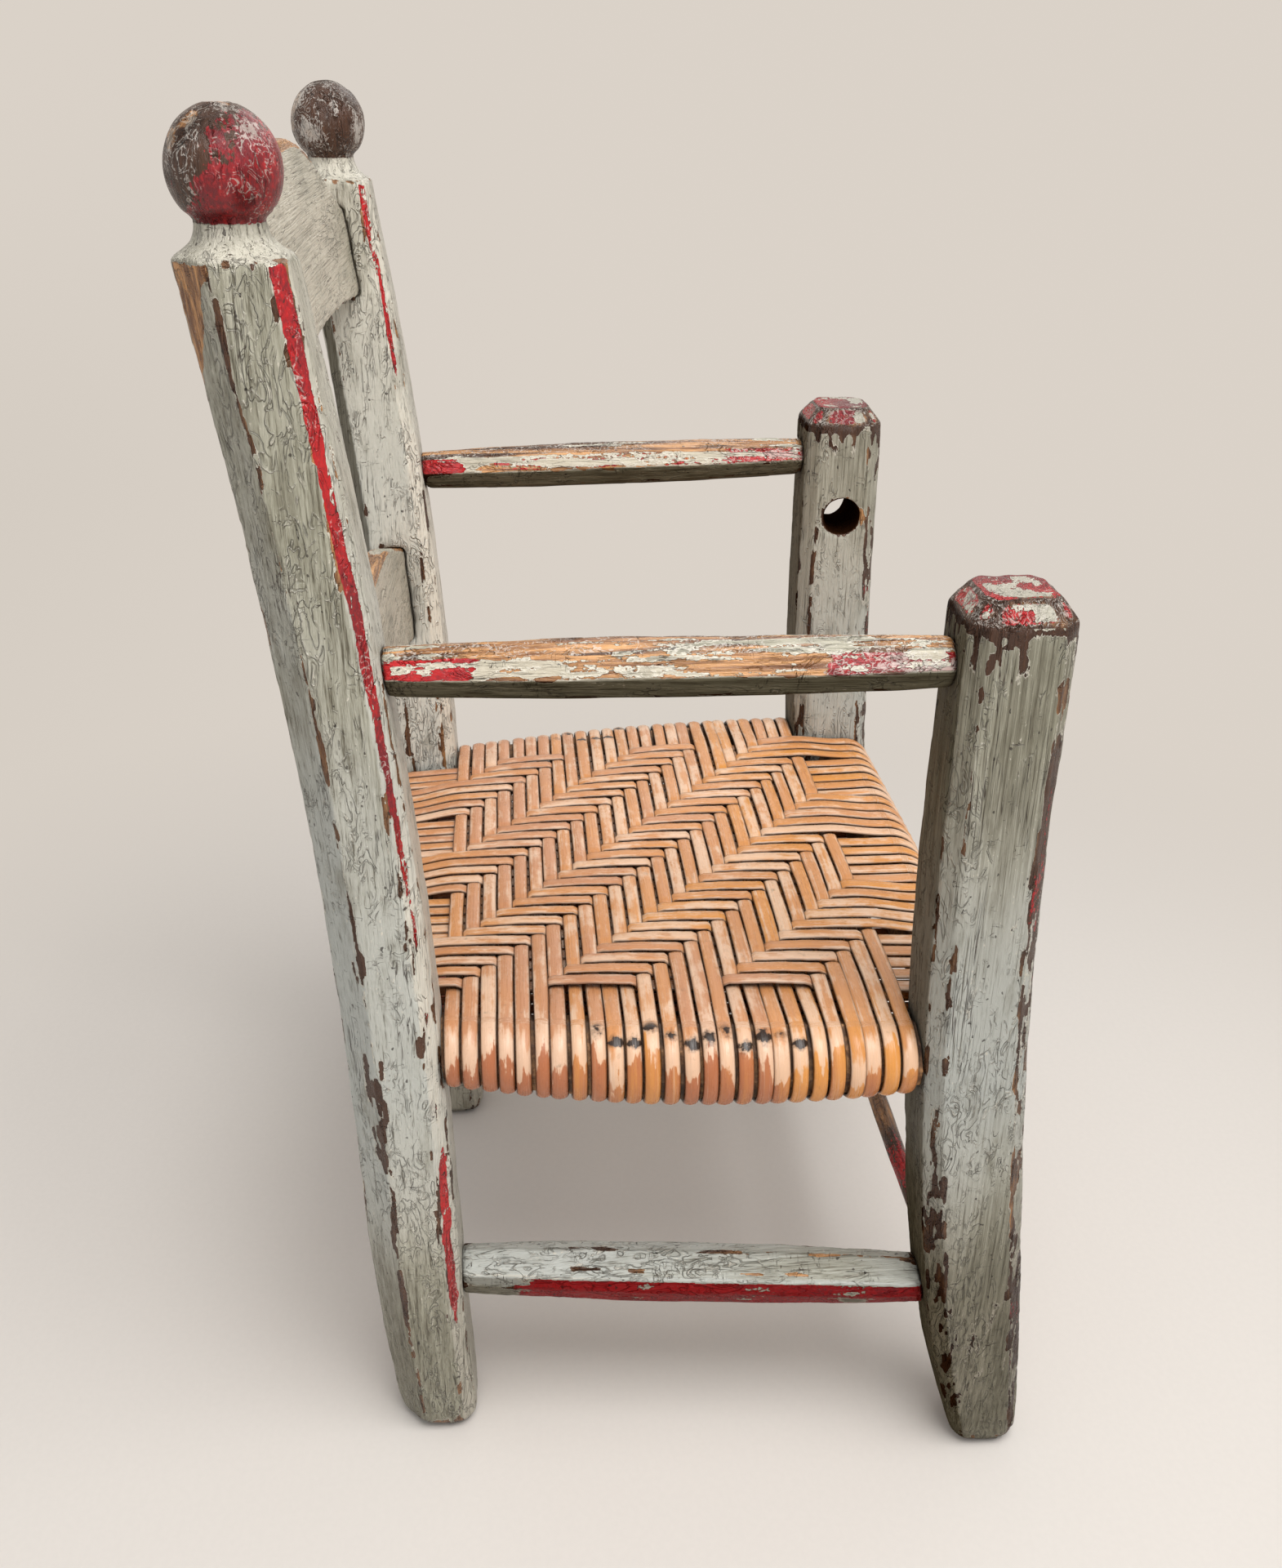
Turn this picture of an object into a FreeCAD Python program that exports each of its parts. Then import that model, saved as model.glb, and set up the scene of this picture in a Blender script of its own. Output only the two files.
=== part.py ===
import FreeCAD, Part
import math
import os

# Child's armchair: four shaved posts, two slats, arms, stretchers and a seat woven of flat splint.
# Millimetres. The chair stands on z = 0 and faces -Y. Left and right are the sitter's: left is +X.

# Where the posts stand: width and depth between centre lines, and the shift that centres the chair's box
POST_SPREAD = 306.0
POST_DEPTH = 234.5
POST_SHIFT = 1.75

# Back posts: kicked a little forward below the bend, leaning back above it to the shoulder,
# with a wide arris planed on the outer rear corner
BACK_FOOT_INSET = 35.0
BACK_TOP_INSET = 3.0
BACK_POST_LEAN = 28.0
BACK_FOOT_KICK = 6.0
BACK_BEND_HEIGHT = 172.0
BACK_SHOULDER_HEIGHT = 544.0
BACK_FOOT_SIZE = 37.0
BACK_BODY_SIZE = 40.5
BACK_TOP_SIZE = 37.0
BACK_SWELL_HEIGHT = 142.0
BACK_WIDE_ARRIS = 13.5

# Turned finial on each back post, whose flare runs out to the faces of the post
FLARE_RADIUS = 22.5
NECK_RADIUS = 10.8
NECK_RISE = 10.5
BALL_RADIUS = 18.4
BALL_CENTRE_RISE = 26.0
BALL_TOP_RISE = 45.0

# Front posts: upright above, kicked forward towards the foot
FRONT_FOOT_INSET = 3.0
FRONT_POST_KICK = 35.0
FRONT_KICK_HEIGHT = 342.0
FRONT_POST_HEIGHT = 432.0
FRONT_FOOT_SIZE = 31.0
FRONT_BODY_SIZE = 45.0
FRONT_TOP_SIZE = 41.0
FRONT_SWELL_HEIGHT = 142.0
FRONT_BEVEL_HEIGHT = 9.0
FRONT_BEVEL_INSET = 6.5

# Shared by all posts
POST_ARRIS = 6.5
FOOT_BEVEL_HEIGHT = 5.0
FOOT_BEVEL_INSET = 4.0

# Shaved tenons and the sockets cut to take them
TENON_CLEARANCE = 0.1
SOCKET_END_ROOM = 0.5

# Arms: at the back set as a share of the gap between the slats, at the front below the post's top
ARM_BACK_PLACE = 0.283
ARM_DROP = 29.0
ARM_END_SIZE = 18.5
ARM_MIDDLE_SIZE = 24.0
ARM_TENON_DIAMETER = 13.0
ARM_TENON_LENGTH = 22.0

# Stretchers: stout ones at the sides and back, and a slender rung at the front
SIDE_STRETCHER_HEIGHT = 95.0
BACK_STRETCHER_HEIGHT = 120.0
STRETCHER_END_SIZE = 20.5
STRETCHER_MIDDLE_SIZE = 27.5
STRETCHER_TENON_DIAMETER = 13.0
STRETCHER_TENON_LENGTH = 22.0
RUNG_HEIGHT = 106.0
RUNG_SETBACK = 13.0
RUNG_END_SIZE = 9.5
RUNG_MIDDLE_SIZE = 10.5
RUNG_TENON_DIAMETER = 8.5
RUNG_TENON_LENGTH = 12.0

# Seat rails, hidden under the weave
SEAT_RAIL_TOP = 240.0
SEAT_BACK_DROP = 3.0
RAIL_END_SIZE = 26.0
SIDE_RAIL_MIDDLE_SIZE = 34.0
CROSS_RAIL_MIDDLE_SIZE = 30.0
SIDE_RAIL_BOW = 6.0
SIDE_RAIL_CROWN = 1.5
SIDE_RAIL_FRONT_OUTSET = 1.0
SIDE_RAIL_BACK_INSET = 5.0
CROSS_RAIL_OUTSET = 5.0
RAIL_TENON_DIAMETER = 15.0
SIDE_RAIL_TENON_LENGTH = 16.0
CROSS_RAIL_TENON_LENGTH = 22.0

# Slats: the upper one set down from the shoulder, the lower one as a share of the height above the seat
SLAT_THICKNESS = 11.0
SLAT_BOW = 4.0
SLAT_SET_BACK = 1.0
SLAT_TENON_LENGTH = 15.0
SLAT_CLEARANCE = 0.15
UPPER_SLAT_DROP = 11.0
UPPER_SLAT_HEIGHT = 41.0
UPPER_CREST_RISE = 37.0
UPPER_BOTTOM_RISE = 5.0
LOWER_SLAT_PLACE = 0.295
LOWER_SLAT_HEIGHT = 50.0
LOWER_CREST_RISE = 22.0
LOWER_BOTTOM_RISE = 12.0

# Pegs that pin the upper slat, driven from behind
PEG_DIAMETER = 6.0
PEG_PROUD = 1.0
PEG_PAST_SLAT = 3.0
PEG_CLEARANCE = 0.1

# Holes for a rest bar between the front posts: through the left one, blind in the right one
BAR_HOLE_DIAMETER = 19.0
BAR_HOLE_DROP = 58.0
BAR_BLIND_DEPTH = 20.0

# Splint seat: as many strips as fit at these least gaps, in a twill of floats over five strips
STRIP_THICKNESS = 1.1
STRIP_WIDTH = 6.0
STRIP_CLEARANCE = 0.3
WRAP_CLEARANCE = 0.8
CROSS_STRIP_GAP = 1.4
LONG_STRIP_GAP = 1.8
TWILL_FLOAT = 5
POST_TO_STRIP_GAP = 1.5
UNDERSIDE_REACH = 4.0
UNDERSIDE_DEPTH = 27.0

# Fixed shape choices: sections and turned bands, and the half angle of an eight-sided section
STICK_SECTIONS = 7
POST_SECTIONS = 10
FLARE_BANDS = 3
BALL_BANDS = 6
OCTAGON_HALF_ANGLE = math.pi / 8
RAIL_TOP_CORNER = 2
RAIL_BOTTOM_CORNER = 6

LEFT = 1
RIGHT = -1
SIDES = {"left": LEFT, "right": RIGHT}


def vector(x, y, z):
    return FreeCAD.Vector(x, y, z)


def blend(low, high, share):
    return low + (high - low) * share


# Post centre lines and sizes

def back_axis(side, z):
    """Centre of a back post at height z."""
    inset = blend(BACK_FOOT_INSET, BACK_TOP_INSET, z / BACK_SHOULDER_HEIGHT)
    bent = max(0.0, z - BACK_BEND_HEIGHT) / (BACK_SHOULDER_HEIGHT - BACK_BEND_HEIGHT)
    kicked = max(0.0, BACK_BEND_HEIGHT - z) / BACK_BEND_HEIGHT
    y = POST_SHIFT + POST_DEPTH / 2 + BACK_POST_LEAN * bent ** 2 - BACK_FOOT_KICK * kicked ** 2
    return vector(side * (POST_SPREAD / 2 - inset), y, z)


def front_axis(side, z):
    """Centre of a front post at height z."""
    inset = blend(FRONT_FOOT_INSET, 0.0, z / FRONT_POST_HEIGHT)
    kicked = max(0.0, FRONT_KICK_HEIGHT - z) / FRONT_KICK_HEIGHT
    y = POST_SHIFT - POST_DEPTH / 2 - FRONT_POST_KICK * kicked ** 2
    return vector(side * (POST_SPREAD / 2 - inset), y, z)


def swelling_size(z, foot, body, top, swell_height, height):
    """Post thickness: a curved taper to the foot and a straight one to the top."""
    if z < swell_height:
        return blend(body, foot, (1 - z / swell_height) ** 2)
    return blend(body, top, (z - swell_height) / (height - swell_height))


def back_size(z):
    return swelling_size(z, BACK_FOOT_SIZE, BACK_BODY_SIZE, BACK_TOP_SIZE,
                         BACK_SWELL_HEIGHT, BACK_SHOULDER_HEIGHT)


def front_size(z):
    return swelling_size(z, FRONT_FOOT_SIZE, FRONT_BODY_SIZE, FRONT_TOP_SIZE,
                         FRONT_SWELL_HEIGHT, FRONT_POST_HEIGHT)


# Building blocks

def closed_wire(points):
    return Part.makePolygon(points + points[:1])


def faceted_solid(sections):
    """Hewn solid: flat faces between matching corners of successive sections."""
    faces = [Part.Face(closed_wire(sections[0])), Part.Face(closed_wire(sections[-1]))]
    for first, second in zip(sections, sections[1:]):
        for corner in range(len(first)):
            after = (corner + 1) % len(first)
            faces.append(Part.Face(closed_wire([first[corner], first[after], second[after], second[corner]])))
    solid = Part.Solid(Part.Shell(faces))
    return solid if solid.Volume > 0 else solid.reversed()


def post_section(centre, size, wide_side=0):
    """Square with its arrises planed off, in a level plane, the rear one wider on one side if asked."""
    half = size / 2
    corners = []
    for x, y in ((1, 1), (-1, 1), (-1, -1), (1, -1)):
        planed = BACK_WIDE_ARRIS if (x, y) == (wide_side, 1) else POST_ARRIS
        inner = half - planed * size / BACK_BODY_SIZE
        ends = [(x * half, y * inner), (x * inner, y * half)]
        corners += ends if x == y else ends[::-1]
    return [centre + vector(x, y, 0) for x, y in corners]


def post_sections(axis, size, side, top, wide_side=0):
    """Sections up a post's centre line, with the edge of the foot bevelled."""
    heights = [blend(FOOT_BEVEL_HEIGHT, top, i / (POST_SECTIONS - 1)) for i in range(POST_SECTIONS)]
    floor = post_section(axis(side, 0.0), size(FOOT_BEVEL_HEIGHT) - 2 * FOOT_BEVEL_INSET, wide_side)
    return [floor] + [post_section(axis(side, z), size(z), wide_side) for z in heights]


def turned(outline):
    """Revolve an outline of points, which starts and ends on the upright axis."""
    return Part.Face(closed_wire(outline)).revolve(vector(0, 0, 0), vector(0, 0, 1), 360)


def finial(centre, side):
    """Egg-shaped ball on a flared neck, turned in narrow bands, in one piece with the post."""
    outline = [vector(0, 0, 0)]
    for step in range(FLARE_BANDS + 1):
        angle = math.pi / 2 * step / FLARE_BANDS
        radius = FLARE_RADIUS - (FLARE_RADIUS - NECK_RADIUS) * math.sin(angle)
        outline.append(vector(radius, 0, NECK_RISE * (1 - math.cos(angle))))
    outline.append(vector(0, 0, NECK_RISE))
    level = post_section(vector(0, 0, 0), BACK_TOP_SIZE, side)
    square = Part.Face(closed_wire(level)).extrude(vector(0, 0, NECK_RISE))
    flare = turned(outline).common(square)
    outline = [vector(0, 0, NECK_RISE)]
    neck_angle = math.acos(NECK_RADIUS / BALL_RADIUS)
    lower_half = BALL_CENTRE_RISE - NECK_RISE
    upper_half = BALL_TOP_RISE - BALL_CENTRE_RISE
    for step in range(BALL_BANDS):
        angle = blend(-neck_angle, math.pi / 2, step / BALL_BANDS)
        lift = math.sin(angle) * (upper_half if angle > 0 else lower_half / math.sin(neck_angle))
        outline.append(vector(BALL_RADIUS * math.cos(angle), 0, BALL_CENTRE_RISE + lift))
    outline.append(vector(0, 0, BALL_TOP_RISE))
    whole = flare.fuse(turned(outline))
    whole.translate(centre)
    return whole


def octagon_section(centre, along, size):
    """Eight-sided section with a corner upwards, square to the direction along."""
    across = along.cross(vector(0, 0, 1)).normalize()
    up = across.cross(along).normalize()
    points = []
    for corner in range(8):
        angle = 2 * corner * OCTAGON_HALF_ANGLE
        points.append(centre + across * (size / 2 * math.cos(angle)) + up * (size / 2 * math.sin(angle)))
    return points


def octagon_pin(start, end, size):
    along = (end - start).normalize()
    return faceted_solid([octagon_section(start, along, size), octagon_section(end, along, size)])


class Stick:
    """Shaved stick between two posts: it swells in the middle and has a shaved tenon at each end."""

    def __init__(self, start, end, end_size, middle_size, tenon_diameter, bow=vector(0, 0, 0)):
        self.start = start
        self.end = end
        self.end_size = end_size
        self.middle_size = middle_size
        self.tenon_diameter = tenon_diameter
        self.bow = bow
        self.along = (end - start).normalize()

    def swell(self, share):
        return 1 - (2 * share - 1) ** 2

    def centre(self, share):
        return self.start + (self.end - self.start) * share + self.bow * self.swell(share)

    def size(self, share):
        return blend(self.end_size, self.middle_size, self.swell(share))

    def body(self):
        shares = [i / (STICK_SECTIONS - 1) for i in range(STICK_SECTIONS)]
        return faceted_solid([octagon_section(self.centre(s), self.along, self.size(s)) for s in shares])

    def ends(self):
        """Each end's point on the post's centre line, with the direction out of the stick."""
        return (self.start, self.along * -1), (self.end, self.along)

    def tenons(self, depths, room=0.0, end_room=0.0):
        """Eight-sided pins from inside the stick to a depth beyond each post's centre line."""
        size = self.tenon_diameter + 2 * room
        pins = []
        for (point, outward), depth in zip(self.ends(), depths):
            inner = point - outward * FRONT_BODY_SIZE
            pins.append(octagon_pin(inner, point + outward * (depth + end_room), size))
        return pins


def tenon_depths(stick, posts, length):
    """Signed depth of each tenon's end beyond the post's centre line, for a length inside the post."""
    depths = []
    for post, (point, outward) in zip(posts, stick.ends()):
        inside = Part.makeLine(point, point - outward * 2 * FRONT_BODY_SIZE).common(post)
        depths.append(length - inside.Length)
    return depths


# Seat rails and stretchers, all set from the posts' centre lines

def strip_layer():
    """Height that one layer of strips takes up, also where a strip folds round a rail's corner."""
    return STRIP_THICKNESS / math.cos(OCTAGON_HALF_ANGLE) + STRIP_CLEARANCE


def side_rail(side):
    """Bowed outwards and a little upwards; one layer high, as its strips lie on top of the long ones."""
    height = SEAT_RAIL_TOP + strip_layer() - RAIL_END_SIZE / 2
    back = back_axis(side, height - SEAT_BACK_DROP) - vector(side * SIDE_RAIL_BACK_INSET, 0, 0)
    front = front_axis(side, height) + vector(side * SIDE_RAIL_FRONT_OUTSET, 0, 0)
    hang = (RAIL_END_SIZE - SIDE_RAIL_MIDDLE_SIZE) / 2
    bow = vector(side * SIDE_RAIL_BOW, 0, hang + SIDE_RAIL_CROWN)
    return Stick(back, front, RAIL_END_SIZE, SIDE_RAIL_MIDDLE_SIZE, RAIL_TENON_DIAMETER, bow)


def cross_rail(axis, top, outset):
    """The rail's top stays level, so the middle hangs lower as it swells."""
    height = top - RAIL_END_SIZE / 2
    out = vector(0, outset, 0)
    bow = vector(0, 0, (RAIL_END_SIZE - CROSS_RAIL_MIDDLE_SIZE) / 2)
    return Stick(axis(RIGHT, height) + out, axis(LEFT, height) + out, RAIL_END_SIZE,
                 CROSS_RAIL_MIDDLE_SIZE, RAIL_TENON_DIAMETER, bow)


def upper_slat_bottom():
    return BACK_SHOULDER_HEIGHT - UPPER_SLAT_DROP - UPPER_SLAT_HEIGHT


def lower_slat_bottom():
    return blend(SEAT_RAIL_TOP, upper_slat_bottom(), LOWER_SLAT_PLACE)


def arm(side):
    back_height = blend(lower_slat_bottom() + LOWER_SLAT_HEIGHT, upper_slat_bottom(), ARM_BACK_PLACE)
    return Stick(back_axis(side, back_height), front_axis(side, FRONT_POST_HEIGHT - ARM_DROP),
                 ARM_END_SIZE, ARM_MIDDLE_SIZE, ARM_TENON_DIAMETER)


def stretcher(start, end):
    return Stick(start, end, STRETCHER_END_SIZE, STRETCHER_MIDDLE_SIZE, STRETCHER_TENON_DIAMETER)


def front_rung():
    """Set behind the posts' centre lines, with tenons that stop short of the side stretchers' ones."""
    setback = vector(0, RUNG_SETBACK, 0)
    return Stick(front_axis(RIGHT, RUNG_HEIGHT) + setback, front_axis(LEFT, RUNG_HEIGHT) + setback,
                 RUNG_END_SIZE, RUNG_MIDDLE_SIZE, RUNG_TENON_DIAMETER)


# Slats

def slat(bottom, height, crest_rise, bottom_rise, oversize=0.0):
    """Bowed board cut to its arched outline, with its ends square for the mortises."""
    middle_height = bottom + height / 2
    post = back_axis(LEFT, middle_height)
    lean = (back_axis(LEFT, bottom + height) - back_axis(LEFT, bottom)) * (1 / height)
    shoulder = post.x - back_size(middle_height) / 2
    half_length = shoulder + SLAT_TENON_LENGTH + oversize
    front = post.y + SLAT_SET_BACK - SLAT_THICKNESS / 2 - oversize
    back = front + SLAT_THICKNESS + 2 * oversize
    deep = height + crest_rise
    plan = [
        Part.Arc(vector(-half_length, front, 0), vector(0, front + SLAT_BOW, 0),
                 vector(half_length, front, 0)).toShape(),
        Part.LineSegment(vector(half_length, front, 0), vector(half_length, back, 0)).toShape(),
        Part.Arc(vector(half_length, back, 0), vector(0, back + SLAT_BOW, 0),
                 vector(-half_length, back, 0)).toShape(),
        Part.LineSegment(vector(-half_length, back, 0), vector(-half_length, front, 0)).toShape(),
    ]
    board = Part.Face(Part.Wire(plan)).extrude(vector(0, 0, 4 * deep))
    board.translate(vector(0, 0, middle_height - 2 * deep))
    board.rotate(vector(0, post.y, middle_height), vector(1, 0, 0), -math.degrees(math.atan(lean.y)))
    low = bottom - oversize
    high = bottom + height + oversize
    outline = [
        Part.LineSegment(vector(-half_length, 0, low), vector(-shoulder, 0, low)).toShape(),
        Part.Arc(vector(-shoulder, 0, low), vector(0, 0, low + bottom_rise),
                 vector(shoulder, 0, low)).toShape(),
        Part.LineSegment(vector(shoulder, 0, low), vector(half_length, 0, low)).toShape(),
        Part.LineSegment(vector(half_length, 0, low), vector(half_length, 0, high)).toShape(),
        Part.LineSegment(vector(half_length, 0, high), vector(shoulder, 0, high)).toShape(),
        Part.Arc(vector(shoulder, 0, high), vector(0, 0, high + crest_rise),
                 vector(-shoulder, 0, high)).toShape(),
        Part.LineSegment(vector(-shoulder, 0, high), vector(-half_length, 0, high)).toShape(),
        Part.LineSegment(vector(-half_length, 0, high), vector(-half_length, 0, low)).toShape(),
    ]
    depth = 4 * BACK_BODY_SIZE
    cutter = Part.Face(Part.Wire(outline)).extrude(vector(0, depth, 0))
    cutter.translate(vector(0, post.y - depth / 2, 0))
    return board.common(cutter)


def peg(side, room=0.0):
    """Whittled peg through the post's rear face into the upper slat's tenon."""
    height = upper_slat_bottom() + UPPER_SLAT_HEIGHT / 2
    post = back_axis(side, height)
    x = post.x - side * (back_size(height) / 2 - SLAT_TENON_LENGTH / 2)
    start = post.y + SLAT_SET_BACK - SLAT_THICKNESS / 2 - PEG_PAST_SLAT - room
    end = post.y + back_size(height) / 2 + PEG_PROUD
    return octagon_pin(vector(x, start, height), vector(x, end, height), PEG_DIAMETER + 2 * room)


# Woven seat

def wrap_points(centre, radius, start_corner, end_corner):
    """Corners of a strip folded round an eight-sided rail, counted from the rail's inner side."""
    step = 2 * OCTAGON_HALF_ANGLE
    direction = 1 if end_corner > start_corner else -1
    points = []
    for corner in range(start_corner, end_corner + direction, direction):
        angle = step * corner
        points.append((centre[0] + radius * math.cos(angle), centre[1] + radius * math.sin(angle)))
    return points


def strip_band(low_rail, high_rail, low_size, high_size, crossings, over, undersides):
    """One strip as a closed flat band: on top of the seat, folded round both rails, straight below.

    Rails are (place, height) pairs in the strip's own plane. Crossings are (place, height) pairs between
    the strips that run the other way, and over tells for each stretch whether the strip is on top.
    """
    fold = 1 / math.cos(OCTAGON_HALF_ANGLE)
    rise = 2 * strip_layer()
    ramp = STRIP_THICKNESS
    loops = []
    for layer in (0.0, STRIP_THICKNESS):
        skin = (WRAP_CLEARANCE + layer) * fold
        low_radius = low_size / 2 + skin
        high_radius = high_size / 2 + skin
        top = []
        level = False
        for (place, height), is_over in zip(crossings, over):
            if is_over != level:
                before = height + skin + (rise if level else 0.0)
                after = height + skin + (rise if is_over else 0.0)
                top.append((place - ramp / 2, before))
                top.append((place + ramp / 2, after))
                level = is_over
        low_wrap = wrap_points(low_rail, low_radius, RAIL_BOTTOM_CORNER, RAIL_TOP_CORNER)
        high_wrap = wrap_points(high_rail, high_radius, RAIL_TOP_CORNER, RAIL_BOTTOM_CORNER - 8)
        below = [(high_rail[0] - high_size / 2 - UNDERSIDE_REACH, undersides[1] - layer),
                 (low_rail[0] + low_size / 2 + UNDERSIDE_REACH, undersides[0] - layer)]
        loops.append(low_wrap + top + high_wrap + below)
    return loops


def band_solid(loops, width, place):
    """Extrude the band between its inner and outer loops; place maps (along, height) to a point."""
    inner, outer = [closed_wire([place(a, h) for a, h in loop]) for loop in loops]
    across = (place(1, 0) - place(0, 0)).cross(vector(0, 0, 1)).normalize()
    face = Part.Face(outer).cut(Part.Face(inner))
    face.translate(across * (-width / 2))
    return face.extrude(across * width)


def strip_count(room, gap):
    return math.floor((room + gap) / (STRIP_WIDTH + gap))


def strip_places():
    """Where the cross strips lie along Y, front first."""
    height = SEAT_RAIL_TOP
    front = front_axis(LEFT, height).y + front_size(height) / 2 + POST_TO_STRIP_GAP
    back = back_axis(LEFT, height).y - back_size(height) / 2 - POST_TO_STRIP_GAP
    count = strip_count(back - front, CROSS_STRIP_GAP)
    pitch = (back - front - STRIP_WIDTH) / (count - 1)
    return [front + STRIP_WIDTH / 2 + i * pitch for i in range(count)]


def long_room(axis, size):
    """Free width between a pair of posts, for the long strips."""
    height = SEAT_RAIL_TOP - SEAT_BACK_DROP - CROSS_RAIL_MIDDLE_SIZE
    return 2 * (axis(LEFT, height).x - size(height) / 2 - POST_TO_STRIP_GAP)


def cross_is_over(cross, long):
    """The twill: the floats step one strip to the left with each strip nearer the front."""
    return (long + cross) % (2 * TWILL_FLOAT) < TWILL_FLOAT


def side_rail_at(rail, y):
    """Centre of a side rail at a place along Y, and the size that a strip needs to go round it there."""
    shares = []
    for edge in (y - STRIP_WIDTH / 2, y, y + STRIP_WIDTH / 2):
        shares.append((edge - rail.start.y) / (rail.end.y - rail.start.y))
    slant = abs(rail.centre(shares[0]).x - rail.centre(shares[2]).x)
    return rail.centre(shares[1]), max(rail.size(share) for share in shares) + slant


def cross_strips(rails):
    """The stiff set: each strip lies flat between the side rails."""
    solids = []
    for y in strip_places():
        ends = [side_rail_at(rails[name], y) for name in ("right", "left")]
        share = (y - rails["left"].end.y) / (rails["left"].start.y - rails["left"].end.y)
        underside = SEAT_RAIL_TOP - share * SEAT_BACK_DROP - UNDERSIDE_DEPTH - strip_layer()
        loops = strip_band((ends[0][0].x, ends[0][0].z), (ends[1][0].x, ends[1][0].z),
                           ends[0][1], ends[1][1], [], [], (underside, underside))
        solids.append(band_solid(loops, STRIP_WIDTH, lambda along, height: vector(along, y, height)))
    return solids


def long_strips(front_rail, back_rail, side_rails):
    """The supple set, woven over and under the cross strips and fanning out to the front rail."""
    places = strip_places()
    half_pitch = (places[1] - places[0]) / 2
    between = [y - half_pitch for y in places] + [places[-1] + half_pitch]
    heights = []
    for y in between:
        centre, size = side_rail_at(side_rails["left"], y)
        heights.append(centre.z + size / 2 - strip_layer())
    front_underside = SEAT_RAIL_TOP - UNDERSIDE_DEPTH
    undersides = (front_underside, front_underside - SEAT_BACK_DROP)
    front_y = front_rail.start.y
    back_y = back_rail.start.y
    front_room = long_room(front_axis, front_size)
    back_room = long_room(back_axis, back_size)
    count = strip_count(min(front_room, back_room), LONG_STRIP_GAP)
    solids = []
    for j in range(count):
        share = j / (count - 1) - 0.5
        front_x = share * (front_room - STRIP_WIDTH)
        back_x = share * (back_room - STRIP_WIDTH)
        slope = (back_x - front_x) / (back_y - front_y)
        stretch = math.hypot(1.0, slope)
        ends = []
        for rail, x in ((front_rail, front_x), (back_rail, back_x)):
            share = (x - rail.start.x) / (rail.end.x - rail.start.x)
            ends.append((rail.centre(share), rail.size(share)))
        crossings = [(y * stretch, height) for y, height in zip(between, heights)]
        over = [not cross_is_over(i, j) for i in range(len(places))] + [False]
        loops = strip_band((front_y * stretch, ends[0][0].z), (back_y * stretch, ends[1][0].z),
                           ends[0][1], ends[1][1], crossings, over, undersides)
        origin_x = front_x - slope * front_y
        solids.append(band_solid(loops, STRIP_WIDTH, lambda along, height: vector(
            origin_x + slope * along / stretch, along / stretch, height)))
    return solids


# Assembly

def export(name, shape):
    shape.exportStep("parts/%s.step" % name)


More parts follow.
